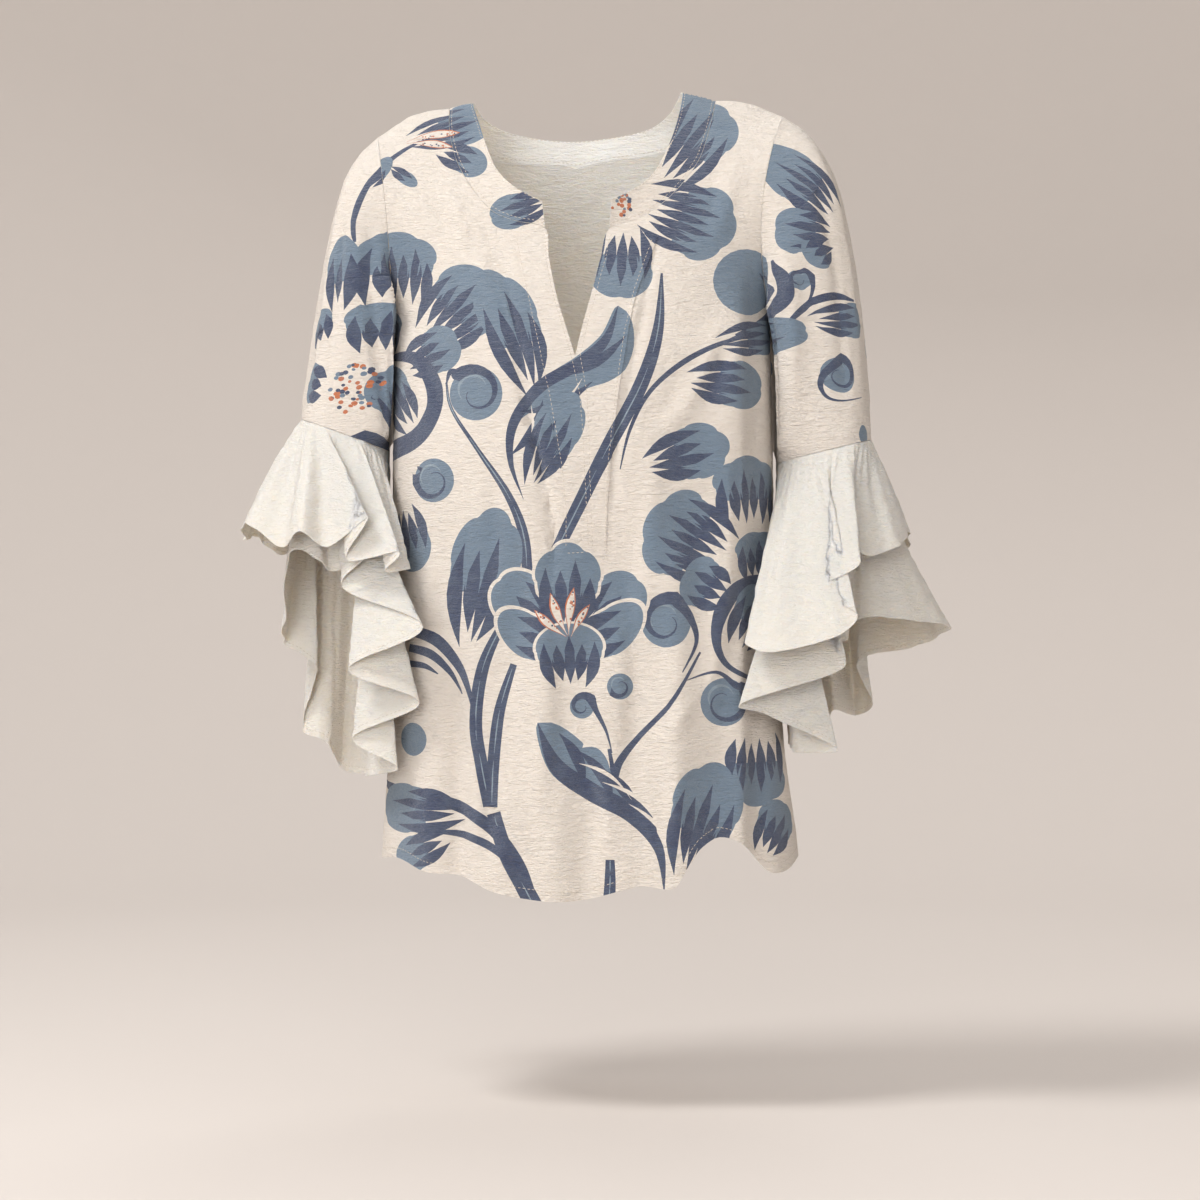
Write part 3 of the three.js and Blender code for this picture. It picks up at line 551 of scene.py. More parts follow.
# The free edge of a mesh as one loop
def rim_loop(faces):
    directed = set()
    for face in faces:
        directed.update(zip(face, face[1:] + face[:1]))
    ahead = {a: b for a, b in directed if (b, a) not in directed}
    start = min(ahead)
    loop = [start]
    while ahead[loop[-1]] != start:
        loop.append(ahead[loop[-1]])
    return loop


STRIP_FADE = 0.05


# Front or back panel. A parameter is side (-1 left, 1 right), row and share.
def panel_surface(face, lift=0.0):
    def surface(params):
        points = np.zeros((len(params), 3))
        for name, sign in (("left", -1), ("right", 1)):
            mine = params[:, 0] * sign > 0
            row, share = params[mine, 1], params[mine, 2]
            points[mine] = panel_points(face, name, row, share)
            if lift and mine.any():
                across = panel_points(face, name, row, share + 0.01, False) - panel_points(
                    face, name, row, share - 0.01, False)
                down = panel_points(face, name, row + 0.05, share, False) - panel_points(
                    face, name, row - 0.05, share, False)
                normal = np.cross(across, down)
                normal *= np.sign(normal[:, 1:2]) * (-1 if face == "front" else 1)
                fade = 1 - 0.8 * ease((row - STRIP_END_ROW + STRIP_FADE) / STRIP_FADE)
                points[mine] += (lift * fade / np.linalg.norm(normal, axis=1))[:, None] * normal
        return points
    return surface


SIDE_WRAP = 0.35


def panel_flat(face, side, rows, shares):
    sign = -1 if side == "left" else 1
    samples = np.linspace(0, 1, 65)
    flat = []
    for row, list_of in zip(rows, shares):
        line = panel_points(face, side, row, samples, False)
        step = np.hypot(np.diff(line[:, 0]), np.diff(line[:, 1]))
        arc = np.concatenate([[0], np.cumsum(step)])
        across = np.interp(list_of, samples, arc) + np.minimum(list_of, 0) * step[0] * 64
        straight = np.abs(line[-1, 0] - line[0, 0]) * list_of
        across = mix(straight, across, SIDE_WRAP)
        at = panel_points(face, side, row, list_of, False)
        drop = np.maximum(0, read(SHOULDER_LINE, "x", "z", at[:, 0]) - at[:, 2])
        flat.append(np.column_stack([sign * across + body_centre(at[:, 2]), at[:, 2] - extra_drop(face, drop)]))
    return np.vstack(flat)


# How much longer the cloth is than its drop where it slopes away from the shoulder
def extra_drop(face, drop):
    drops = np.linspace(0, 300, 61)
    out = read(PROFILE, "drop", face, drops)
    arc = np.concatenate([[0], np.cumsum(np.hypot(np.diff(drops), np.diff(out)))])
    return np.interp(drop, drops, arc - drops)


def panel_shares(face, side, row, strip_columns, columns):
    start = float(inner_share(face, side, row))
    first = start
    result = []
    if face == "front":
        at = max(row, STRIP_TOP_ROW)
        _, z = inner_edge(face, side, at)
        stitched = share_of(face, side, at, read(PLACKET_ROWS, "z", side, z), z)
        at_start = inner_share(face, side, at)
        first = float(mix(start, 1, (stitched - at_start) / (1 - at_start)))
        result = list(mix(start, first, np.arange(strip_columns) / strip_columns))
    return np.array(result + list(np.sin(mix(math.asin(first), math.pi / 2, np.arange(columns + 1) / columns))))


def panel_cloth(face, upper_steps, lower_steps, strip_columns, columns, lift=0.0, strip=None):
    rows = list(np.arange(UPPER_ROWS * upper_steps) / upper_steps)
    rows += list(UPPER_ROWS + np.arange(lower_steps + 1) / lower_steps)
    sides = ("left", "right")
    if strip:
        sides = (strip,)
        rows = [row for row in rows if STRIP_TOP_ROW <= row <= STRIP_END_ROW + 0.01]
    flat, params, faces = [], [], []
    for side in sides:
        shares = [panel_shares(face, side, row, strip_columns, columns) for row in rows]
        if strip:
            shares = [row[:strip_columns + 1] for row in shares]
        first = sum(len(part) for part in flat)
        flat.append(panel_flat(face, side, rows, shares))
        sign = -1 if side == "left" else 1
        params.append(np.array([(sign, row, share) for row, line in zip(rows, shares) for share in line]))
        faces += grid_faces(len(rows), len(shares[0]), side == "right", first)
    flat, params = np.vstack(flat), np.vstack(params)
    if not strip:
        join_centre(face, flat, params)
    return Cloth(flat, params, faces, panel_surface(face, lift), lambda corners: True)


# Both halves share their flat places along the centre line
def join_centre(face, flat, params):
    start = UPPER_ROWS if face == "front" else BACK_BAND_ROWS
    left = {round(row, 4): i for i, (sign, row, _) in reversed(list(enumerate(params.tolist()))) if sign < 0}
    seen = set()
    for i, (sign, row, _) in enumerate(params.tolist()):
        if sign > 0 and row not in seen:
            seen.add(row)
            if row >= start:
                flat[i] = flat[left[round(row, 4)]]


# Sleeve. A parameter is step and turn, and the cloth is cut open along the underarm.
OUTER_WRAP = 0.8
INNER_WRAP = 0.08


def sleeve_cloth(side, steps, around):
    rows = SLEEVE_TABLES[side]
    grid = np.array([(LAST_RING * i / steps, 0.5 - j / around) for i in range(steps + 1) for j in range(around + 1)])
    if side == "left":
        grid[:, 1] *= -1

    def surface(params):
        points = sleeve_ring(side, params[:, 0], params[:, 1])
        edge = clamp01(1 - params[:, 0])
        points[:, 0] -= BODY_SIDE[side] * SEAM * edge
        return points + sleeve_creases(side, params)

    points = sleeve_ring(side, grid[:, 0], grid[:, 1])
    order = np.argsort(-rows["outer_z"])
    outer = np.interp(-points[:, 2], -rows["outer_z"][order], rows["outer_x"][order])
    half = read_row(rows["half"], grid[:, 0])
    y = np.abs(points[:, 1])
    round_front = np.where(np.abs(grid[:, 1]) < 0.25, OUTER_WRAP * y, OUTER_WRAP * half + INNER_WRAP * (half - y))
    across = (np.abs(points[:, 0] - outer) + round_front) * np.sign(grid[:, 1])
    flat = np.column_stack([across if side == "left" else -across, points[:, 2]])
    faces = grid_faces(steps + 1, around + 1, True)
    return Cloth(flat, grid, faces, surface, lambda corners: (corners[:, 1] > -1e-6).all())


# Soft folds of the sleeves, by where they start and end as step and turn
SLEEVE_CREASES = {
    "left": table("s0 t0 s1 t1 width depth",
                  (0.2, 0.22, 7.5, 0.34, 0.016, -2.4), (0.6, 0.3, 7.8, 0.42, 0.018, 2.2),
                  (1.0, 0.08, 7.0, 0.14, 0.02, 1.8), (0.5, 0.14, 6.5, 0.2, 0.018, -1.8),
                  (0.5, -0.2, 7.5, -0.3, 0.02, 2.0), (1.0, -0.1, 7.0, -0.16, 0.02, -1.6),
                  (2.0, 0.01, 7.5, 0.03, 0.02, 1.4), (0.3, -0.36, 6.0, -0.42, 0.02, 1.6)),
    "right": table("s0 t0 s1 t1 width depth",
                   (0.4, 0.26, 7.8, 0.3, 0.017, 2.6), (0.4, 0.33, 7.8, 0.37, 0.016, -2.8),
                   (0.4, 0.16, 7.5, 0.2, 0.02, -2.0), (0.8, 0.09, 7.0, 0.12, 0.02, 1.8),
                   (0.4, -0.22, 7.5, -0.28, 0.02, 2.0), (1.0, -0.12, 7.0, -0.14, 0.02, -1.8),
                   (2.0, 0.02, 7.5, 0.0, 0.02, 1.2), (0.3, -0.38, 6.0, -0.4, 0.02, 1.4)),
}


# How far the sleeve leans against the body beside the underarm, by turn
TUCK_IN = table("turn push", (0.2, 0), (0.26, 9), (0.31, 18), (0.36, 15), (0.42, 4.5), (0.47, 0.8), (0.5, 0))


def sleeve_creases(side, params):
    step, turn = params[:, 0], params[:, 1]
    depth = np.zeros(len(params))
    for s0, t0, s1, t1, width, deep in zip(*SLEEVE_CREASES[side].values()):
        t = clamp01((step - s0) / (s1 - s0))
        depth += 2.3 * deep * np.sin(np.pi * t) ** 0.7 * np.exp(-(((turn - mix(t0, t1, t)) / width) ** 2))
    ring = sleeve_ring(side, step, turn)
    push = np.interp(np.abs(turn), TUCK_IN["turn"], TUCK_IN["push"]) * ease(step / 1.5) * ease((LAST_RING - step) / 0.8)
    middle = 0.5 * (sleeve_ring(side, step, 0.0) + sleeve_ring(side, step, 0.5))
    out = ring - middle
    out[:, 2] = 0
    out /= np.maximum(np.linalg.norm(out, axis=1), 1e-6)[:, None]
    free = ease(step) * ease((LAST_RING - step) * 1.2)
    return out * (depth * free)[:, None] + np.outer(BODY_SIDE[side] * push, (1, 0, 0))


# Neck band: a strip from the neckline to its free edge. A parameter is station and share across.
BAND_TURN = FRONT_BAND_ROWS + 2 * BACK_BAND_ROWS
BAND_END = BAND_TURN + FRONT_BAND_ROWS


def band_points(params):
    seam = np.zeros((len(params), 3))
    at = params[:, 0]
    parts = (
        ("front", "left", at < FRONT_BAND_ROWS, FRONT_BAND_ROWS - at),
        ("back", "left", (at >= FRONT_BAND_ROWS) & (at <= FRONT_BAND_ROWS + BACK_BAND_ROWS), at - FRONT_BAND_ROWS),
        ("back", "right", (at > FRONT_BAND_ROWS + BACK_BAND_ROWS) & (at <= BAND_TURN), BAND_TURN - at),
        ("front", "right", at > BAND_TURN, at - BAND_TURN),
    )
    for face, side, mine, row in parts:
        if mine.any():
            row = np.clip(row[mine], 0, FRONT_BAND_ROWS)
            seam[mine] = panel_points(face, side, row, inner_share(face, side, row), False)
    edge = np.stack([read_row(BAND_EDGE[axis], at) for axis in "xyz"], -1)
    away = edge - seam
    seam = seam + away * (SEAM / np.linalg.norm(away, axis=1))[:, None]
    roll = np.sin(np.pi * params[:, 1]) * 0.8
    points = mix(seam, edge, params[:, 1:2])
    points[:, 2] += roll
    return points


def band_cloth(stations, across):
    params = np.array([(BAND_END * i / stations, j / across) for i in range(stations + 1) for j in range(across + 1)])
    points = band_points(params)
    left, right = (band_points(np.column_stack([np.full(len(params), at), params[:, 1]]))
                   for at in (FRONT_BAND_ROWS, BAND_TURN))
    along = (points[:, 0] - left[:, 0]) / (right[:, 0] - left[:, 0])
    top = mix(left[:, 2], right[:, 2], clamp01(along))
    behind = (params[:, 0] > FRONT_BAND_ROWS) & (params[:, 0] < BAND_TURN)
    flat = np.column_stack([points[:, 0], np.where(behind, 2 * top - points[:, 2], points[:, 2])])
    faces = grid_faces(stations + 1, across + 1)

    def seen(corners):
        return (corners[:, 0] <= FRONT_BAND_ROWS).all() or (corners[:, 0] >= BAND_TURN).all()

    return Cloth(flat, params, faces, band_points, seen)


# Flounce: from the elbow seam down to its own hem, spreading sideways on the way
def flounce_points(side, tier, around_steps, steps):
    hem = HEMS[tier, side]
    count = len(hem["around"])
    j = np.arange(count * around_steps)
    row = j / around_steps
    first = np.floor(row).astype(int)
    following = np.append(hem["around"][1:], 1.0)
    turn = mix(hem["around"][first], following[first], row - first)
    seam = sleeve_ring(side, LAST_RING, turn)
    middle = 0.5 * (sleeve_ring(side, LAST_RING, 0) + sleeve_ring(side, LAST_RING, 0.5))
    inward = middle - seam
    inward[:, 2] = 0
    inset = 0 if tier == "upper" else LOWER_INSET
    seam = seam + inward * (inset / np.linalg.norm(inward, axis=1))[:, None]
    seam[:, 2] -= SEAM
    foot = np.stack([read_row(hem[axis], row, True) for axis in "xyz"], -1)
    spread = UPPER_SPREAD if tier == "upper" else LOWER_SPREAD
    rings = []
    for i in range(steps + 1):
        t = i / steps
        out = t ** spread
        ring = mix(seam, foot, out)
        ring[:, 2] = mix(seam[:, 2], foot[:, 2], t)
        gather = np.sin(2 * np.pi * turn * 46 + 3 * np.sin(turn * 17)) * 0.9 * math.exp(-((t / 0.22) ** 2)) * min(1, 8 * t)
        ripple = np.sin(2 * np.pi * turn * 19 + 5 * np.sin(turn * 11 + 2)) + 0.6 * np.sin(2 * np.pi * turn * 31 + 3 * t)
        gather = gather + 1.7 * ripple * ease(t / 0.4) * (1 - 0.4 * t)
        gather = gather + 0.7 * t ** 8 * np.sin(2 * np.pi * turn * 29 + 4 * np.sin(turn * 13 + 1))
        away = (ring - middle) * (1, 1, 0)
        away /= np.linalg.norm(away, axis=1)[:, None]
        rings.append(ring + away * gather[:, None])
    return np.array(rings)


def flounce(side, tier, around_steps, steps, materials):
    rings = flounce_points(side, tier, around_steps, steps)
    count = rings.shape[1]
    points = rings.reshape(-1, 3)
    faces = []
    for i in range(steps):
        for j in range(count):
            k = (j + 1) % count
            face = (i * count + j, i * count + k, (i + 1) * count + k, (i + 1) * count + j)
            faces.append(face if side == "right" else face[::-1])
    name = f"flounce_{tier}_{side}"
    piece = shell(name + "_cloth", points, faces, materials, thick=0.8, pucker_size=13, pucker_depth=0.9)
    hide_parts(name)
    return piece


# Print: flowers, leaves, scrolls and stems in two blues on the cream ground, drawn in the flat cloth.
# A shape is an outline and its dye, and a later shape lies over an earlier one.
def spline(points, steps=7):
    points = np.array(points, float)
    row = np.linspace(0, len(points) - 1, (len(points) - 1) * steps + 1)
    return np.column_stack([read_row(points[:, 0], row), read_row(points[:, 1], row)])


def ribbon(line, widths):
    t = np.linspace(0, 1, len(line))
    along = np.gradient(line, axis=0)
    along /= np.maximum(np.linalg.norm(along, axis=1), 1e-6)[:, None]
    side = np.column_stack([-along[:, 1], along[:, 0]])
    half = 0.5 * np.maximum(read_row(np.array(widths, float), t * (len(widths) - 1)), 0.25)[:, None]
    return np.vstack([line + side * half, (line - side * half)[::-1]])


def blade(start, end, width, bow=0.0, peak=0.45, steps=9):
    start, end = np.array(start, float), np.array(end, float)
    t = np.linspace(0, 1, steps)[:, None]
    across = np.array([-(end - start)[1], (end - start)[0]])
    line = start + (end - start) * t + across * bow * np.sin(np.pi * t)
    shaped = np.sin(np.pi * t[:, 0] ** (math.log(0.5) / math.log(peak))) ** 1.15
    along = np.gradient(line, axis=0)
    side = np.column_stack([-along[:, 1], along[:, 0]]) / np.linalg.norm(along, axis=1)[:, None]
    half = 0.5 * np.maximum(width * shaped, 0.2)[:, None]
    return np.vstack([line + side * half, (line - side * half)[::-1]])


def disc(x, y, radius, corners=24):
    angle = np.arange(corners) * 2 * np.pi / corners
    return np.column_stack([x + radius * np.cos(angle), y + radius * np.sin(angle)])


def turned(outline, angle, x, y):
    a = math.radians(angle - 90)
    spin = np.array([[math.cos(a), math.sin(a)], [-math.sin(a), math.cos(a)]])
    return outline @ spin + (x, y)


# A petal: a scalloped blue cap, with navy blades that run from tips at its base up into the blue
def petal(angle, length, width, lobes, blades, gather, lean=0.0, halo=0.0):
    theta = np.linspace(1.1, -0.1, 52) * np.pi
    scallop = 0.88 + 0.12 * np.abs(np.sin(lobes * np.clip(theta, 0, np.pi))) ** 0.5
    scallop[(theta < 0) | (theta > np.pi)] = 0.88
    cap = np.column_stack([0.5 * width * np.cos(theta) * scallop,
                           0.58 * length + 0.42 * length * np.sin(theta) * scallop])
    cap = np.vstack([cap, [(0.36 * width, 0.41 * length), (-0.36 * width, 0.41 * length)]])
    shapes = []
    if halo:
        middle = np.array([0, 0.62 * length])
        shapes.append((middle + (cap - middle) * (1 + 2 * halo / width), "ground"))
    shapes.append((cap, "blue"))
    for k in range(blades):
        u = (2 * k + 1) / blades - 1
        low = (u * gather * 0.5 * width, length * (0.0 + 0.10 * (1 - u * u) + 0.06 * (k % 2)))
        high = (u * 0.43 * width, length * (0.82 - 0.16 * u * u - 0.11 * (k % 2)))
        shapes.append((blade(low, high, 0.86 * width / blades, -0.10 * u, 0.5), "navy"))
    for k in range(blades - 1):
        u = (2 * k + 2) / blades - 1
        low = (u * 0.36 * width, length * 0.42)
        high = (u * 0.42 * width, length * (0.74 - 0.16 * u * u))
        shapes.append((blade(low, high, 0.14 * width / blades, -0.06 * u), "blue"))
    if lean:
        shapes = [(outline + np.column_stack([lean * outline[:, 1] ** 2 / length, 0 * outline[:, 1]]), ink)
                  for outline, ink in shapes]
    return [(turned(outline, angle, 0, 0), ink) for outline, ink in shapes]


# A curl: a blue ball in a navy scroll that runs out into a tapering tail
def curl(radius, angle, way, tail, width):
    turns = np.radians(np.linspace(angle - way * 330, angle, 22))
    radii = np.linspace(0.30, 1.0, 22) * radius
    spiral = np.column_stack([radii * np.cos(turns), radii * np.sin(turns)])
    points = np.vstack([spiral, spline([tuple(spiral[-1])] + tail)[2:]])
    inside = len(spiral) / len(points)
    t = np.linspace(0, 1, 30)
    widths = width * np.where(t < inside, 0.06 + 0.94 * (t / inside) ** 2, 1 - 0.93 * ((t - inside) / (1 - inside)) ** 0.6)
    return [(disc(0, 0, radius, 30), "blue"),
            (disc(-0.15 * radius, 0.2 * radius, 0.55 * radius, 20), "pale"),
            (disc(-0.10 * radius, 0.12 * radius, 0.52 * radius, 20), "blue"),
            (ribbon(points, widths), "navy")]


# A stem: a navy ribbon with a broken pale line along it
def stem(line, widths, shine):
    shapes = [(ribbon(line, widths), "navy")]
    if shine:
        for start, end in ((0.06, 0.30), (0.34, 0.62), (0.66, 0.93)):
            part = line[int(start * len(line)):int(end * len(line)) + 1]
            if len(part) > 2:
                shapes.append((ribbon(part, (0.3, 1.1, 1.1, 0.3)), "pale"))
    return shapes


# A plume: a navy sweep along a line, with scalloped blue lobes on one side and blades up into them
def plume(line, width, way, lobes, stroke):
    t = np.linspace(0, 1, len(line))
    along = np.gradient(line, axis=0)
    along /= np.linalg.norm(along, axis=1)[:, None]
    side = way * np.column_stack([-along[:, 1], along[:, 0]])
    swell = ease((t - 0.25) / 0.45) * np.sqrt(np.clip((1 - t) / 0.22, 0, 1))
    scallop = 0.72 + 0.30 * np.abs(np.sin(np.pi * lobes * np.clip((t - 0.3) / 0.7, 0, 1))) ** 0.6
    outer = line + side * (width * swell * scallop)[:, None]
    inner = line - side * (0.22 * width * swell)[:, None]
    first = int(0.26 * len(line))
    shapes = [(np.vstack([outer[first:], inner[first:][::-1]]), "blue")]
    shapes.append((ribbon(line, (0.3, 0.6 * stroke, stroke, 1.1 * stroke, 0.9 * stroke, 0.3)), "navy"))
    for k in range(lobes + 1):
        a = int((0.20 + 0.55 * k / (lobes + 1)) * len(line))
        b = min(len(line) - 1, int((0.48 + 0.50 * k / (lobes + 0.6)) * len(line)))
        end = line[b] + side[b] * width * swell[b] * 0.66
        shapes.append((blade(line[a], end, 0.30 * width, 0.10 * way, 0.5), "navy"))
    for k in range(lobes):
        a = int((0.16 + 0.55 * k / (lobes + 1)) * len(line))
        b = min(len(line) - 1, int((0.42 + 0.42 * k / lobes) * len(line)))
        start = line[a] + side[a] * stroke * 0.7
        end = line[b] + side[b] * (width * swell[b] * 0.40 + 1)
        shapes.append((blade(start, end, 0.10 * width, 0.12 * way, 0.6), "ground"))
    return shapes


# Beads at the heart of a flower
def beads(spread, count, seed):
    draw = random.Random(seed)
    shapes = []
    for _ in range(count):
        away = spread * math.sqrt(draw.random())
        around = draw.random() * 2 * math.pi
        ink = draw.choice(("orange", "orange", "navy", "blue"))
        place = (0.8 * away * math.cos(around), away * math.sin(around))
        shapes.append((disc(*place, draw.uniform(1.2, 2.3), 8), ink))
    return shapes


# A stamen: a pale wedge edged and speckled in orange
def stamen(angle, length, width, seed):
    draw = random.Random(seed)
    shapes = [(blade((0, 0), (0, length), width + 2.2, 0.04, 0.62), "orange"),
              (blade((0, 1.2), (0, length - 2), width, 0.04, 0.62), "ground")]
    for k in range(int(length / 3.2)):
        place = (draw.uniform(-0.22, 0.22) * width, 0.3 * length + 0.6 * length * draw.random())
        shapes.append((disc(*place, draw.uniform(0.6, 1.1), 6), draw.choice(("orange", "orange", "navy"))))
    return [(turned(outline, angle, 0, 0), ink) for outline, ink in shapes]


# Motifs whose places are given by x and z as seen from the front (or from the back, through the blouse)
def shapes_of(cloth, motifs):
    shapes = []

    def placed(x, z):
        return cloth.place(x, z) if cloth else np.array([x, z], float)

    for kind, *rest in motifs:
        if kind in ("stem", "plume"):
            points, *sizes = rest
            line = spline([tuple(placed(x, z)) for x, z in points])
            if kind == "stem":
                shapes += stem(line, *sizes)
            else:
                shapes += plume(line, *sizes)
            continue
        x, z, *sizes = rest
        at = placed(x, z)
        if kind == "curl":
            tail = sizes[3]
            sizes[3] = [tuple(placed(a, b) - at) for a, b in tail]
            made = curl(*sizes)
        else:
            made = {"petal": petal, "beads": beads, "stamen": stamen,
                    "ball": lambda radius: [(disc(0, 0, radius), "blue")]}[kind](*sizes)
        shapes += [(outline + at, ink) for outline, ink in made]
    return shapes


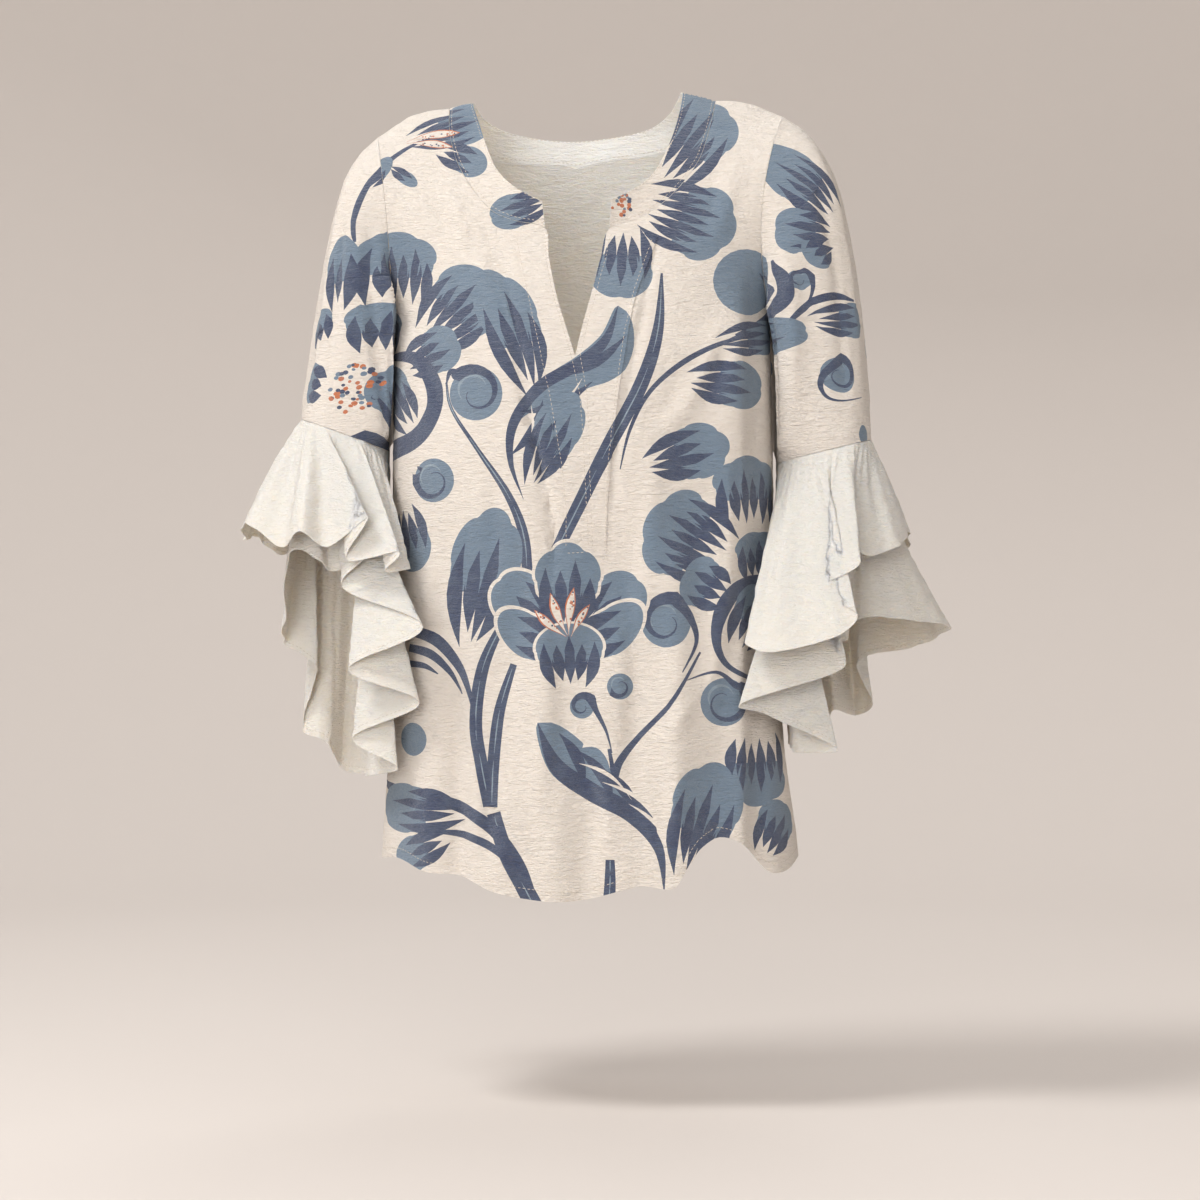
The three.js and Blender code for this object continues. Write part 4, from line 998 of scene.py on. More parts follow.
# Kind, x, z, then: petal angle, length, width, lobes, blades, gather, lean, halo; curl radius, angle, way,
# tail, width; beads spread, count, seed; stamen angle, length, width, seed; stem and plume a line, then widths
FRONT_MOTIFS = [
    ('stem', [(74.4, -172.8), (70.8, -225.0), (55.5, -274.5), (24.9, -333.0), (-6.6, -396.0), (-24.6, -432.0)], (2, 10, 13, 13, 12, 11), 1),
    ('stem', [(-120.0, -271.8), (-114.6, -297.0), (-91.2, -333.0), (-64.2, -373.5), (-49.8, -409.5), (-46.2, -445.5)], (2, 3, 4, 7, 9, 10), 1),
    ('stem', [(-66.0, -484.2), (-85.8, -526.5), (-93.0, -576.0), (-87.6, -616.5), (-80.4, -652.5)], (6, 11, 12, 12, 12), 1),
    ('stem', [(-58.8, -525.6), (-71.4, -567.0), (-76.8, -612.0), (-78.6, -653.4)], (6, 10, 11, 11), 1),
    ('stem', [(-76.8, -658.8), (-66.0, -693.0), (-51.6, -720.0), (-39.0, -743.4)], (13, 14, 15, 16), 1),
    ('stem', [(108.6, -514.8), (83.4, -558.0), (54.6, -589.5), (36.6, -612.0), (30.3, -630.0)], (2, 4, 5, 7, 8), 0),
    ('stem', [(26.7, -601.2), (29.4, -616.5), (30.3, -630.0)], (3, 4, 6), 0),
    ('stem', [(27.6, -700.2), (27.6, -720.0), (26.7, -738.0)], (8, 10, 11), 1),
    ('stem', [(-204.6, -142.2), (-205.5, -118.8), (-195.6, -91.8), (-172.2, -63.0), (-147.0, -45.9)], (2, 6, 7, 5, 3), 0),
    ('stem', [(160.8, -226.8), (130.2, -235.8), (94.2, -253.8), (63.6, -280.8), (45.6, -315.0), (36.6, -351.0)], (1, 4, 5, 4, 3, 1), 0),
    ('stem', [(-154.2, -495.0), (-129.0, -504.0), (-107.4, -529.2), (-96.6, -559.8), (-93.0, -585.0)], (9, 11, 8, 4, 1), 0),
    ('stem', [(-154.2, -511.2), (-134.4, -516.6), (-116.4, -532.8), (-105.6, -552.6)], (7, 8, 5, 1), 0),
    ('stem', [(-154.2, -525.6), (-139.8, -527.4), (-127.2, -534.6)], (6, 5, 1), 0),
    ('petal', -221.7, -208.8, 96, 74, 43, 1, 3, 0.5),
    ('petal', -164.1, -203.4, 87, 76, 78, 3, 6, 0.7),
    ('petal', -139.8, -235.8, 44, 90, 78, 2, 6, 0.6),
    ('petal', -235.2, -235.8, 120, 35, 45, 1, 3, 0.6),
    ('petal', -177.6, -244.8, 90, 49, 62, 2, 5, 0.6),
    ('petal', -159.6, -257.4, 24, 62, 47, 2, 4, 0.6),
    ('petal', -231.6, -273.6, 170, 37, 41, 1, 3, 0.6),
    ('stem', [(-174.0, -244.8), (-150.6, -248.4), (-132.6, -271.8), (-132.6, -298.8), (-152.4, -324.0), (-181.2, -331.2), (-204.6, -316.8)], (4, 12, 16, 15, 17, 19, 8), 0),
    ('petal', -148.8, -315.0, 128, 74, 49, 2, 4, 0.5),
    ('beads', -204.6, -275.4, 22, 60, 3),
    ('petal', 135.6, -433.8, 152, 86, 86, 3, 7, 0.6),
    ('petal', 155.4, -405.0, 94, 68, 78, 3, 6, 0.75),
    ('petal', 195.0, -408.6, 74, 74, 43, 1, 3, 0.5),
    ('petal', 164.4, -453.6, 92, 49, 64, 2, 5, 0.65),
    ('petal', 135.6, -466.2, 152, 49, 51, 2, 4, 0.6),
    ('stem', [(177.0, -446.4), (149.1, -453.6), (130.2, -473.4), (123.0, -502.2), (132.0, -525.6), (153.6, -538.2), (178.8, -540.0)], (4, 12, 14, 9, 5, 4, 2), 0),
    ('petal', 141.0, -514.8, 58, 68, 53, 2, 4, 0.5),
    ('petal', 159.0, -586.8, 270, 68, 74, 3, 6, 0.75),
    ('petal', 65.4, -88.2, 58, 115, 90, 3, 7, 0.55),
    ('petal', 56.4, -108.0, -18, 90, 80, 3, 7, 0.6),
    ('petal', 40.2, -127.8, 267, 74, 62, 2, 5, 0.6),
    ('beads', 38.4, -109.8, 11, 22, 5),
    ('petal', 236.4, -120.6, 128, 82, 64, 2, 5, 0.6),
    ('petal', 232.8, -136.8, 172, 55, 45, 2, 4, 0.6),
    ('petal', 227.4, -144.0, 214, 27, 31, 1, 3, 0.6),
    ('curl', 200.4, -176.4, 9.0, 20, -1, [(212.1, -183.6), (208.5, -196.2), (198.6, -208.8)], 6),
    ('petal', 204.0, -214.2, 2, 74, 35, 2, 4, 0.4),
    ('stem', [(191.4, -214.2), (209.4, -198.0), (232.8, -190.8), (250.8, -194.4)], (3, 6, 7, 2), 0),
    ('curl', 238.2, -262.8, 16.2, 80, 1, [(222.0, -262.8), (220.2, -277.2), (234.6, -286.2), (258.0, -282.6)], 9),
    ('ball', 259.8, -316.8, 9),
    ('petal', -161.4, -46.8, 18, 88, 45, 2, 5, 0.4),
    ('petal', -132.6, -54.0, -22, 51, 33, 1, 3, 0.5),
    ('stamen', -159.6, -45.9, 10, 50, 8, 4),
    ('stamen', -159.6, -47.7, -8, 44, 7, 6),
    ('petal', -195.6, -95.4, 60, 43, 18, 1, 2, 0.3),
    ('petal', -175.8, -70.2, -40, 35, 14, 1, 2, 0.3),
    ('petal', -24.6, -104.4, 196, 60, 35, 2, 4, 0.4),
    ('ball', 151.8, -178.2, 32),
    ('stem', [(175.2, -158.4), (186.0, -176.4), (184.2, -196.2), (166.2, -214.2), (141.0, -228.6)], (3, 9, 11, 8, 2), 0),
    ('stem', [(164.4, -169.2), (173.4, -183.6), (169.8, -199.8)], (1, 4, 1), 0),
    ('petal', 119.4, -237.6, 10, 90, 35, 2, 4, 0.4),
    ('petal', 92.4, -270.0, -4, 84, 47, 2, 4, 0.4),
    ('petal', 54.6, -349.2, 16, 84, 53, 3, 4, 0.35),
    ('curl', -93.0, -282.6, 24.3, 135, 1, [(-116.4, -262.8), (-120.0, -273.6)], 12),
    ('curl', -131.7, -360.0, 19.8, 140, -1, [(-149.7, -351.0), (-143.4, -333.0), (-120.0, -322.2)], 10),
    ('curl', 78.0, -487.8, 22.5, 70, -1, [(99.6, -484.2), (105.0, -505.8), (92.4, -532.8)], 13),
    ('curl', 130.2, -559.8, 21.6, 40, 1, [(140.1, -544.5), (123.0, -532.8), (96.0, -540.0)], 10),
    ('curl', 36.6, -545.4, 11.7, 140, -1, [(24.0, -556.2), (25.8, -576.0), (29.4, -603.0)], 9),
    ('curl', 2.4, -563.4, 10.8, 40, -1, [(15.0, -567.0), (24.0, -585.0), (29.4, -604.8)], 9),
    ('petal', -39.0, -289.8, 104, 131, 57, 3, 4, 0.3, -0.12, 0.0),
    ('plume', [(-49.8, -378.0), (-61.5, -343.8), (-58.8, -309.6), (-35.4, -277.2), (0.6, -255.6), (24.0, -234.0), (34.8, -203.4)], 31, -1, 2, 10),
    ('petal', -46.2, -370.8, 64, 98, 45, 3, 4, 0.3),
    ('petal', -102.0, -517.5, 78, 135, 68, 3, 4, 0.28),
    ('petal', -159.6, -379.8, 284, 64, 45, 1, 4, 0.5),
    ('petal', -181.2, -347.4, 276, 25, 23, 1, 2, 0.5),
    ('ball', -150.6, -594.0, 15),
    ('petal', -15.6, -504.0, 136, 80, 53, 2, 3, 0.4, 0.0, 3),
    ('petal', -3.0, -504.0, 44, 80, 53, 2, 3, 0.4, 0.0, 3),
    ('petal', -10.2, -500.4, 90, 84, 62, 3, 4, 0.4, 0.0, 3),
    ('petal', -4.8, -509.4, 176, 70, 45, 1, 3, 0.4, 0.25, 3),
    ('petal', -15.6, -509.4, 8, 76, 47, 1, 3, 0.4, -0.25, 3),
    ('petal', -7.5, -549.0, 92, 60, 66, 1, 5, 0.5, 0.0, 3),
    ('stamen', -10.2, -500.4, 112, 42, 7, 11),
    ('stamen', -9.3, -500.4, 84, 44, 7, 12),
    ('stamen', -11.1, -501.3, 140, 38, 6, 13),
    ('stamen', -7.5, -501.3, 60, 34, 5, 14),
    ('plume', [(76.2, -730.8), (70.8, -689.4), (45.6, -658.8), (9.6, -639.0), (-21.0, -615.6), (-37.2, -577.8)], 36, -1, 3, 15),
    ('petal', 92.4, -720.0, 72, 111, 70, 3, 5, 0.35),
    ('stem', [(-35.4, -743.4), (-53.4, -703.8), (-82.2, -669.6), (-125.4, -648.0), (-183.0, -635.4)], (1, 9, 11, 10, 6), 0),
    ('stem', [(-39.0, -738.0), (-64.2, -700.2), (-98.4, -680.4), (-143.4, -675.0)], (1, 6, 7, 1), 0),
    ('petal', -114.6, -680.4, 204, 62, 35, 2, 3, 0.4),
    ('petal', -98.4, -658.8, 178, 101, 47, 3, 4, 0.35),
    ('petal', 164.4, -700.2, 62, 55, 47, 2, 4, 0.5),
    ('petal', 108.6, -723.6, 40, 41, 27, 1, 2, 0.4),
]
BACK_MOTIFS = [
    ('stem', [(-30, -740), (-44, -640), (-20, -540), (30, -450), (60, -360), (40, -270), (0, -190)],
     (12, 13, 12, 11, 9, 7, 3), 1),
    ('stem', [(-20, -540), (-80, -480), (-110, -400), (-100, -320)], (8, 8, 6, 3), 1),
    ('stem', [(60, -360), (110, -330), (140, -270)], (6, 5, 2), 0),
    ('stem', [(-44, -640), (40, -610), (96, -560)], (8, 7, 3), 0),
    ('petal', 4, -160, 150, 74, 66, 3, 6, 0.6), ('petal', 0, -150, 95, 78, 74, 3, 7, 0.65),
    ('petal', 0, -160, 35, 74, 66, 3, 6, 0.6), ('petal', -4, -172, 205, 54, 48, 2, 4, 0.5),
    ('petal', 6, -172, -22, 54, 48, 2, 4, 0.5), ('beads', 0, -158, 18, 46, 21),
    ('petal', -100, -330, 120, 70, 60, 3, 5, 0.5), ('petal', -100, -326, 70, 66, 58, 2, 5, 0.5),
    ('petal', -106, -340, 180, 48, 40, 2, 4, 0.5), ('petal', -94, -340, 10, 48, 40, 2, 4, 0.5),
    ('beads', -100, -334, 12, 26, 22),
    ('petal', 104, -556, 60, 76, 66, 3, 6, 0.6), ('petal', 100, -560, 8, 70, 60, 3, 5, 0.6),
    ('petal', 98, -566, -50, 66, 56, 2, 5, 0.6), ('petal', 96, -550, 112, 58, 50, 2, 4, 0.6),
    ('beads', 98, -560, 14, 34, 23),
    ('curl', 140, -250, 22, 200, 1, [(120, -270), (128, -310), (112, -332)], 7),
    ('curl', -60, -240, 22, 330, -1, [(-44, -262), (-56, -300), (-88, -318)], 7),
    ('curl', 20, -400, 20, 300, -1, [(36, -412), (44, -420), (50, -410)], 6),
    ('curl', -130, -560, 24, 20, 1, [(-104, -560), (-90, -500), (-84, -484)], 8),
    ('curl', 150, -440, 22, 220, 1, [(128, -452), (110, -430), (86, -410)], 7),
    ('plume', [(-40, -600), (-90, -620), (-130, -660), (-140, -710)], 40, -1, 3, 11),
    ('plume', [(-6, -520), (20, -560), (20, -620), (0, -680)], 34, 1, 3, 9),
    ('plume', [(50, -330), (90, -300), (104, -230), (80, -170)], 32, -1, 3, 8),
    ('plume', [(30, -680), (80, -660), (130, -670), (170, -710)], 36, -1, 3, 9),
    ('plume', [(-70, -430), (-30, -420), (-14, -370), (-30, -310)], 30, 1, 2, 7),
    ('petal', -140, -120, 100, 60, 50, 2, 4, 0.5), ('petal', -150, -150, 200, 44, 40, 2, 4, 0.5),
    ('petal', 150, -110, 80, 62, 52, 2, 4, 0.5), ('petal', 100, -90, 30, 44, 36, 2, 3, 0.5),
    ('stem', [(-140, -200), (-136, -160), (-140, -128)], (2, 5, 3), 0),
    ('petal', -170, -440, 80, 64, 44, 2, 4, 0.4), ('petal', 176, -560, 90, 66, 46, 2, 4, 0.4),
    ('petal', -170, -300, 60, 48, 40, 2, 4, 0.4), ('petal', 60, -720, 80, 56, 50, 2, 4, 0.4),
]

# Motifs of the back and outer side of the sleeves, by flat place
SLEEVE_MOTIFS = {
    "left": [
        ('petal', -70, -150, 130, 66, 58, 3, 5, 0.6), ('petal', -64, -146, 70, 66, 58, 3, 5, 0.6),
        ('petal', -66, -160, 190, 50, 42, 2, 4, 0.6), ('petal', -60, -160, 0, 50, 42, 2, 4, 0.6),
        ('beads', -66, -152, 12, 26, 31), ('stem', [(-66, -160), (-80, -220), (-60, -300)], (4, 8, 9), 1),
        ('curl', -110, -250, 18, 340, -1, [(-94, -262), (-84, -276), (-70, -280)], 6),
        ('petal', -36, -250, 60, 60, 44, 2, 4, 0.4), ('petal', -20, -90, 80, 44, 40, 2, 4, 0.5),
    ],
    "right": [
        ('petal', 66, -170, 50, 66, 58, 3, 5, 0.6), ('petal', 60, -166, 110, 66, 58, 3, 5, 0.6),
        ('petal', 62, -180, -10, 50, 42, 2, 4, 0.6), ('petal', 56, -180, 180, 50, 42, 2, 4, 0.6),
        ('beads', 62, -172, 12, 26, 32), ('stem', [(62, -180), (80, -240), (60, -320)], (4, 8, 9), 1),
        ('curl', 116, -250, 18, 200, 1, [(100, -262), (90, -280), (76, -286)], 6),
        ('petal', 30, -270, 120, 60, 44, 2, 4, 0.4), ('petal', 24, -80, 100, 44, 40, 2, 4, 0.5),
    ],
}


def front_shapes(cloth):
    return shapes_of(cloth, FRONT_MOTIFS)


def back_shapes(cloth):
    return shapes_of(cloth, BACK_MOTIFS)


def sleeve_shapes(cloth, side):
    return front_shapes(cloth) + shapes_of(None, SLEEVE_MOTIFS[side])


# Materials
INK_STEP = 8


def new_material(name):
    material = bpy.data.materials.new(name)
    material.use_nodes = True
    nodes = material.node_tree.nodes
    return material, nodes, material.node_tree.links, nodes["Principled BSDF"]


def noise_node(nodes, links, coordinates, scale, detail, stretch=(1, 1, 1), turn=(0, 0, 0)):
    mapping = nodes.new("ShaderNodeMapping")
    mapping.inputs["Scale"].default_value = stretch
    mapping.inputs["Rotation"].default_value = turn
    links.new(coordinates, mapping.inputs["Vector"])
    texture = nodes.new("ShaderNodeTexNoise")
    texture.inputs["Scale"].default_value = scale
    texture.inputs["Detail"].default_value = detail
    texture.inputs["Distortion"].default_value = 0.9
    links.new(mapping.outputs["Vector"], texture.inputs["Vector"])
    return texture.outputs["Fac"]


def maths(nodes, links, operation, *values):
    node = nodes.new("ShaderNodeMath")
    node.operation = operation
    for slot, value in zip(node.inputs, values):
        if isinstance(value, (int, float)):
            slot.default_value = value
        else:
            links.new(value, slot)
    return node.outputs[0]


def mixed(nodes, links, fac, a, b, blend="MIX"):
    node = nodes.new("ShaderNodeMix")
    node.data_type = "RGBA"
    node.blend_type = blend
    for slot, value in ((node.inputs[0], fac), (node.inputs[6], a), (node.inputs[7], b)):
        if isinstance(value, (int, float, tuple)):
            slot.default_value = value
        else:
            links.new(value, slot)
    return node.outputs[2]


# Colours of the cloth and of the dyes, in linear light
CREAM_LIGHT = (0.93, 0.855, 0.775, 1)
CREAM_DARK = (0.82, 0.725, 0.635, 1)
PLAIN_LIGHT = (0.93, 0.862, 0.780, 1)
PLAIN_DARK = (0.80, 0.722, 0.635, 1)
INKS = {
    "ground": (0.93, 0.855, 0.775, 1),
    "navy": (0.034, 0.052, 0.120, 1),
    "blue": (0.165, 0.235, 0.320, 1),
    "pale": (0.27, 0.345, 0.42, 1),
    "orange": (0.60, 0.17, 0.05, 1),
}
INK = {name: i for i, name in enumerate(INKS)}


BUMP = 0.009
FLOUNCE_BUMP = 0.010


# Crepe: fine uneven wrinkles, a woven grid and slubs. stretch draws the wrinkles out across the cloth. Its colour
# follows the slubs, the yarn's own tone, and the wrinkle height, so the wrinkle hollows carry painted shade.
def crepe(name, light, dark, stretch, turn, printed, relief, glow):
    material, nodes, links, shader = new_material(name)
    coordinates = nodes.new("ShaderNodeTexCoord").outputs["Object"]
    wrinkle = noise_node(nodes, links, coordinates, 1, 3, stretch, turn)
    fine = noise_node(nodes, links, coordinates, 1, 2, tuple(2.7 * value for value in stretch), turn)
    slub = noise_node(nodes, links, coordinates, 1, 2, (170, 170, 1100), turn)
    patch = noise_node(nodes, links, coordinates, 7, 2)
    thread = noise_node(nodes, links, coordinates, 2600, 0)
    amount = maths(nodes, links, "MULTIPLY_ADD", patch, 1.3, -0.15)
    height = maths(nodes, links, "MULTIPLY", wrinkle, amount)
    height = maths(nodes, links, "MULTIPLY_ADD", fine, 0.45, height)
    height = maths(nodes, links, "MULTIPLY_ADD", slub, 0.22, height)
    height = maths(nodes, links, "MULTIPLY_ADD", thread, 0.10, height)
    bump = nodes.new("ShaderNodeBump")
    bump.inputs["Distance"].default_value = relief
    links.new(height, bump.inputs["Height"])
    links.new(bump.outputs["Normal"], shader.inputs["Normal"])
    # Colour from dark to light by the slubs (yarn tone) and by the wrinkle height: darker in the wrinkle hollows, which
    # is painted shade
    slub_tone_and_wrinkle_shade = maths(nodes, links, "MULTIPLY_ADD", slub, 0.5, 0.05)
    slub_tone_and_wrinkle_shade = maths(nodes, links, "MULTIPLY_ADD", wrinkle, 0.5, slub_tone_and_wrinkle_shade)
    colour = mixed(nodes, links, slub_tone_and_wrinkle_shade, dark, light)
    if printed:
        dye = nodes.new("ShaderNodeAttribute")
        dye.attribute_name = "ink"
        ramp = nodes.new("ShaderNodeValToRGB")
        ramp.color_ramp.interpolation = "CONSTANT"
        for i, ink in enumerate(list(INKS)[1:], 1):
            stop = ramp.color_ramp.elements.new((i - 0.5) / INK_STEP) if i > 1 else ramp.color_ramp.elements[1]
            stop.position = (i - 0.5) / INK_STEP
            stop.color = INKS[ink]
        links.new(maths(nodes, links, "DIVIDE", dye.outputs["Fac"], INK_STEP), ramp.inputs["Fac"])
        worn = noise_node(nodes, links, coordinates, 60, 4)
        worn = maths(nodes, links, "MULTIPLY_ADD", worn, 0.4, -0.17)
        worn = maths(nodes, links, "MULTIPLY_ADD", slub, 0.14, worn)
        faded = mixed(nodes, links, worn, ramp.outputs["Color"], INKS["pale"])
        inked = maths(nodes, links, "GREATER_THAN", dye.outputs["Fac"], 0.5)
        colour = mixed(nodes, links, inked, colour, faded)
    links.new(colour, shader.inputs["Base Color"])
    rough = maths(nodes, links, "MULTIPLY_ADD", wrinkle, 0.18, 0.70)
    links.new(rough, shader.inputs["Roughness"])
    shader.inputs["Subsurface Weight"].default_value = glow
    shader.inputs["Subsurface Radius"].default_value = (1.0, 0.8, 0.6)
    shader.inputs["Subsurface Scale"].default_value = 0.003
    shader.inputs["Sheen Weight"].default_value = 0.25
    shader.inputs["Sheen Roughness"].default_value = 0.5
    shader.inputs["Specular IOR Level"].default_value = 0.25
    return material


BODY_STRETCH = (58, 58, 230)
FLOUNCE_STRETCH = (80, 80, 300)
printed = crepe("printed_crepe", CREAM_LIGHT, CREAM_DARK, BODY_STRETCH, (0, 0, 0), True, BUMP, 0.15)
# The inside crepe is paler than the outside cream: partly the reverse side's own tone, partly painted light that
# brightens the shaded inside of the blouse
inside = crepe("crepe_inside", (0.96, 0.91, 0.84, 1), (0.90, 0.84, 0.77, 1), BODY_STRETCH, (0, 0, 0), False, 0.0065, 0.85)
cream = crepe("cream_crepe", PLAIN_LIGHT, PLAIN_DARK, FLOUNCE_STRETCH, (0, math.radians(52), 0), False, FLOUNCE_BUMP, 0.65)
outside = [printed, inside]
plain = [cream, cream]


# Front, back, neck band, strips and sleeves
def dressed(name, cloth, shapes, flip=False, **how):
    points, faces, inks = cloth.printed([(outline, INK[ink]) for outline, ink in shapes], flip)
    piece = shell(name + "_cloth", points, faces, outside, inks, **how)
    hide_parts(name)
    return piece


front_cloth = panel_cloth("front", 8, 96, 8, 58)
back_cloth = panel_cloth("back", 7, 70, 0, 32)
band = band_cloth(150, 7)
sleeves = {side: sleeve_cloth(side, 44, 88) for side in ("left", "right")}
front = dressed("front", front_cloth, front_shapes(front_cloth))
back = dressed("back", back_cloth, back_shapes(back_cloth), True)
collar = dressed("collar_band", band, front_shapes(band), pucker_depth=0.25)
strips = {}
for side in ("left", "right"):
    strip = panel_cloth("front", 8, 96, 8, 58, STRIP_LIFT + SHELL, side)
    strips[side] = dressed(f"placket_{side}", strip, front_shapes(strip))
arms = {side: dressed(f"sleeve_{side}", cloth, sleeve_shapes(cloth, side)) for side, cloth in sleeves.items()}
flounces = {(tier, side): flounce(side, tier, 14, 24 if tier == "upper" else 34, plain)
            for tier in ("upper", "lower") for side in ("left", "right")}

# Stitches: short threads laid along a line of a piece, a little sunk into its outer side
STITCH = 2.6
STITCH_GAP = 1.5
THREAD = 0.26


def sew(name, piece, lines, tone):
    mesh = piece.data
    tree = BVHTree.FromPolygons([v.co / MM for v in mesh.vertices], [tuple(p.vertices) for p in mesh.polygons])
    points, faces = [], []
    for line, outward in lines:
        lengths = np.concatenate([[0], np.cumsum(np.linalg.norm(np.diff(line, axis=0), axis=1))])
        for start in np.arange(1.0, lengths[-1] - STITCH, STITCH + STITCH_GAP):
            ends = []
            for at in (start, start + STITCH / 2, start + STITCH):
                guess = [np.interp(at, lengths, line[:, k] + outward[..., k]) for k in range(3)]
                ends.append(tree.find_nearest(Vector(guess)))
            first = len(points)
            run = (ends[2][0] - ends[0][0]).normalized()
            for (place, normal, _, _), lift, size in zip(ends, (-0.1, 0.22, -0.1), (0.5, 1, 0.5)):
                across = run.cross(normal).normalized()
                for angle in (0, 60, 120, 180, 240, 300):
                    a = math.radians(angle)
                    turned_out = across * math.cos(a) + normal * math.sin(a) * 0.8
                    points.append(place + normal * lift + turned_out * THREAD * size)
            for ring in (0, 6):
                for k in range(6):
                    n = (k + 1) % 6
                    faces.append((first + ring + k, first + ring + n, first + ring + 6 + n, first + ring + 6 + k))
            faces.append(tuple(first + k for k in reversed(range(6))))
            faces.append(tuple(first + 12 + k for k in range(6)))
    mesh = bpy.data.meshes.new(name)
    mesh.from_pydata([tuple(point * MM) for point in points], [], faces)
    mesh.polygons.foreach_set("use_smooth", [True] * len(faces))
    mesh.materials.append(tone)
    threads = bpy.data.objects.new(name, mesh)
    bpy.context.scene.collection.objects.link(threads)
    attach(threads, "root")
    return threads


def thread_material():
    material, nodes, links, shader = new_material("sewing_thread")
    coordinates = nodes.new("ShaderNodeTexCoord").outputs["Object"]
    twist = noise_node(nodes, links, coordinates, 900, 2, (1, 1, 2.4))
    # The thread is darker where its twist bump is sunk: painted shade between the plies
    links.new(mixed(nodes, links, twist, (0.52, 0.44, 0.35, 1), (0.80, 0.72, 0.62, 1)), shader.inputs["Base Color"])
    bump = nodes.new("ShaderNodeBump")
    bump.inputs["Distance"].default_value = 0.0002
    links.new(twist, bump.inputs["Height"])
    links.new(bump.outputs["Normal"], shader.inputs["Normal"])
    shader.inputs["Roughness"].default_value = 0.6
    return material


thread = thread_material()


def panel_line(cloth, side, rows, shares, outward):
    sign = -1 if side == "left" else 1
    return cloth.surface(np.column_stack([np.full(len(rows), sign), rows, shares])), outward


FRONTWARD = np.array((0, -2.5, 0))
BACKWARD = np.array((0, 2.5, 0))
HEM_ROW = UPPER_ROWS + 1 - 0.019
strip_rows = np.linspace(STRIP_TOP_ROW + 0.12, STRIP_END_ROW - 0.02, 60)
for side, strip in strips.items():
    cloth = panel_cloth("front", 8, 96, 8, 58, STRIP_LIFT + SHELL, side)
    edges = [panel_shares("front", side, row, 8, 58) for row in strip_rows]
    lines = [panel_line(cloth, side, strip_rows, [mix(e[0], e[8], t) for e in edges], FRONTWARD) for t in (0.1, 0.92)]
    end_row = np.full(12, STRIP_END_ROW - 0.012)
    lines.append(panel_line(cloth, side, end_row, np.linspace(edges[-1][0] + 0.01, edges[-1][8] - 0.01, 12), FRONTWARD))
    sew(f"stitches_placket_{side}", strip, lines, thread)
round_hem = np.sin(np.linspace(-0.02, 0.94, 80) * np.pi / 2)
sew("stitches_front_hem", front, [panel_line(front_cloth, side, np.full(80, HEM_ROW), round_hem, FRONTWARD)
                                  for side in ("left", "right")], thread)
sew("stitches_back_hem", back, [panel_line(back_cloth, side, np.full(80, HEM_ROW), round_hem, BACKWARD)
                                for side in ("left", "right")], thread)
stations = np.linspace(0.06, BAND_END - 0.06, 160)
band_out = np.array((0, -1.5, 1.0))
sew("stitches_collar", collar, [(band_points(np.column_stack([stations, np.full(160, t)])), band_out)
                                for t in (0.08, 0.93)], thread)

for (tier, side), piece in flounces.items():
    rings = flounce_points(side, tier, 14, 24 if tier == "upper" else 34)
    before, last = rings[-2], rings[-1]
    line = mix(before, last, 0.35)
    down = last - before
    around = np.roll(line, -1, axis=0) - np.roll(line, 1, axis=0)
    out = np.cross(around, down) * (1 if side == "left" else -1)
    out /= np.linalg.norm(out, axis=1)[:, None]
    line = np.vstack([line, line[:1]])
    sew(f"stitches_flounce_{tier}_{side}", piece, [(line, np.vstack([out, out[:1]]) * 1.2)], thread)

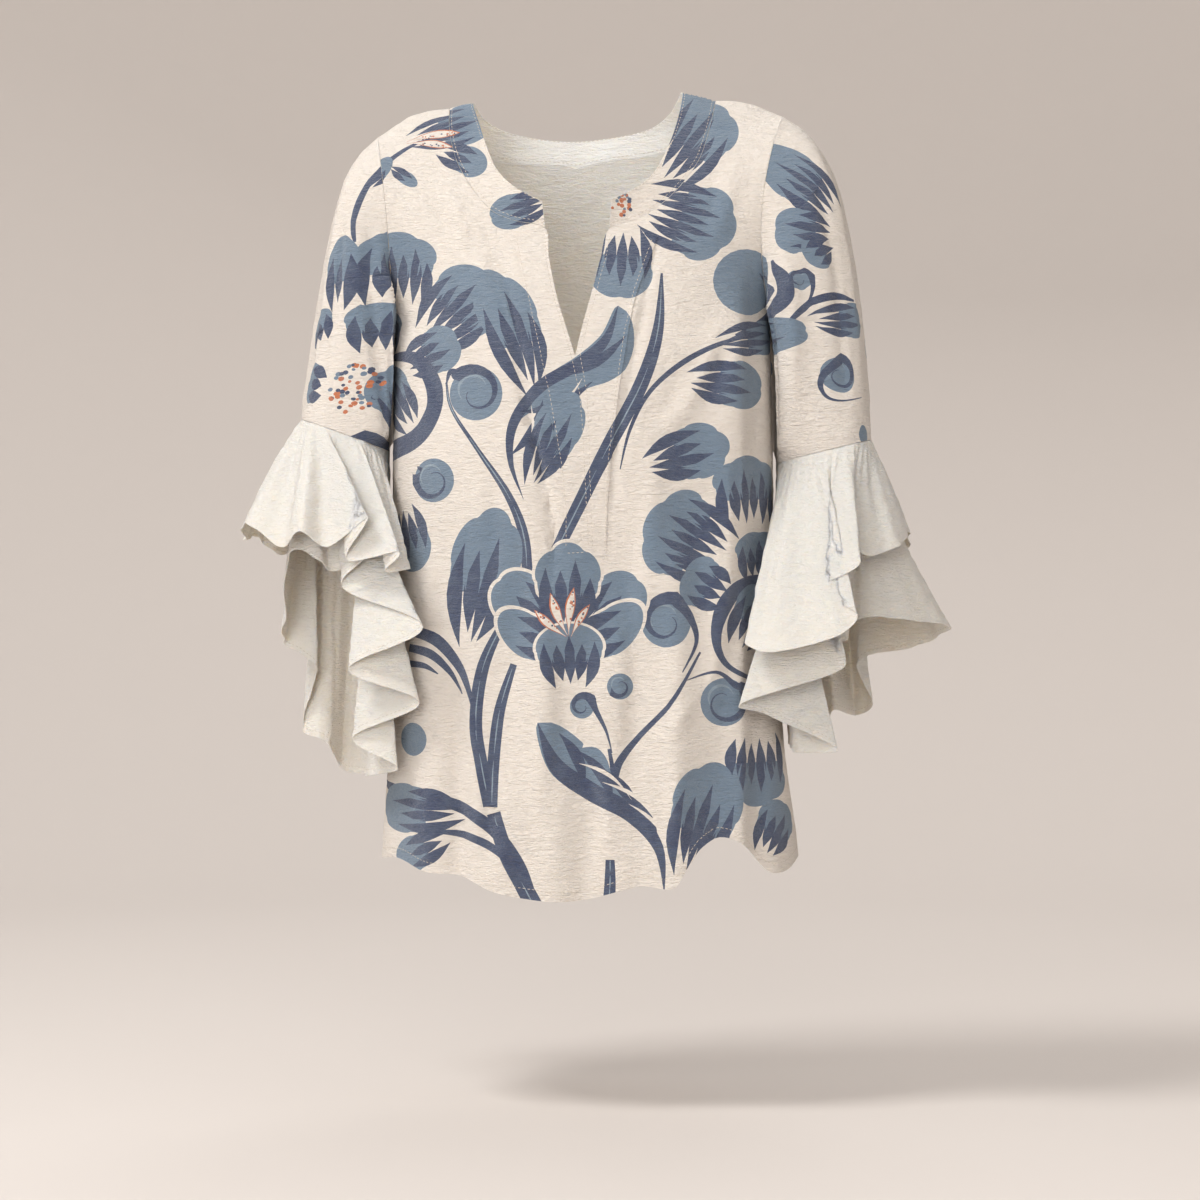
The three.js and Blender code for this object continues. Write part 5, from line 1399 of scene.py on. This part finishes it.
# Floor and backdrop in one piece, and soft light
bpy.context.scene.view_settings.view_transform = "Standard"
FLOOR_Z = -0.93
stage_mesh = bpy.data.meshes.new("backdrop")
profile = [(0, 0), (1.0, 0), (2.0, 0)]
profile += [(2.0 + 1.8 * math.sin(a), 1.8 - 1.8 * math.cos(a)) for a in np.linspace(0.1, math.pi / 2, 14)]
profile += [(3.8, 4.5)]
TURNS = 96
stage_points = [(r * math.cos(2 * math.pi * j / TURNS), r * math.sin(2 * math.pi * j / TURNS), FLOOR_Z + z)
                for r, z in profile for j in range(TURNS)]
stage_faces = [(i * TURNS + j, i * TURNS + (j + 1) % TURNS, (i + 1) * TURNS + (j + 1) % TURNS, (i + 1) * TURNS + j)
               for i in range(len(profile) - 1) for j in range(TURNS)]
stage_mesh.from_pydata(stage_points, [], stage_faces)
stage_mesh.polygons.foreach_set("use_smooth", [True] * len(stage_faces))
backdrop = bpy.data.objects.new("backdrop", stage_mesh)
bpy.context.scene.collection.objects.link(backdrop)
paper, _, _, paper_shader = new_material("backdrop_paper")
paper_shader.inputs["Base Color"].default_value = (0.618, 0.574, 0.541, 1)
paper_shader.inputs["Roughness"].default_value = 0.95
stage_mesh.materials.append(paper)
backdrop.visible_shadow = False

world = bpy.data.worlds.new("studio")
world.use_nodes = True
world.node_tree.nodes["Background"].inputs["Color"].default_value = (1.0, 0.99, 0.98, 1)
world.node_tree.nodes["Background"].inputs["Strength"].default_value = 0.62
bpy.context.scene.world = world


def area_light(name, place, aim, size, power, tint):
    data = bpy.data.lights.new(name, "AREA")
    data.size = size
    data.energy = power
    data.color = tint
    light = bpy.data.objects.new(name, data)
    light.location = place
    light.rotation_euler = (Vector(aim) - Vector(place)).to_track_quat("-Z", "Y").to_euler()
    bpy.context.scene.collection.objects.link(light)


area_light("key", (-1.7, -1.1, 2.2), (0, 0, -0.4), 0.95, 74, (1.0, 0.985, 0.965))
area_light("front", (-0.3, -2.8, 0.5), (0, 0, -0.4), 1.6, 33, (1.0, 0.985, 0.965))
area_light("low", (-1.1, -2.5, -0.5), (0, 0, -0.45), 1.2, 22, (1.0, 0.99, 0.98))
area_light("fill", (2.2, -2.2, 0.2), (0, 0, -0.4), 2.0, 8, (1.0, 0.99, 0.98))
area_light("back", (0.6, 2.4, 1.6), (0, 0, -0.4), 1.6, 26, (1.0, 0.99, 0.98))

tris = {o.name: sum(len(p.vertices) - 2 for p in o.data.polygons) for o in bpy.context.scene.objects if o.type == "MESH"}
print("TRIS", sum(tris.values()), max(tris.values()), tris, flush=True)
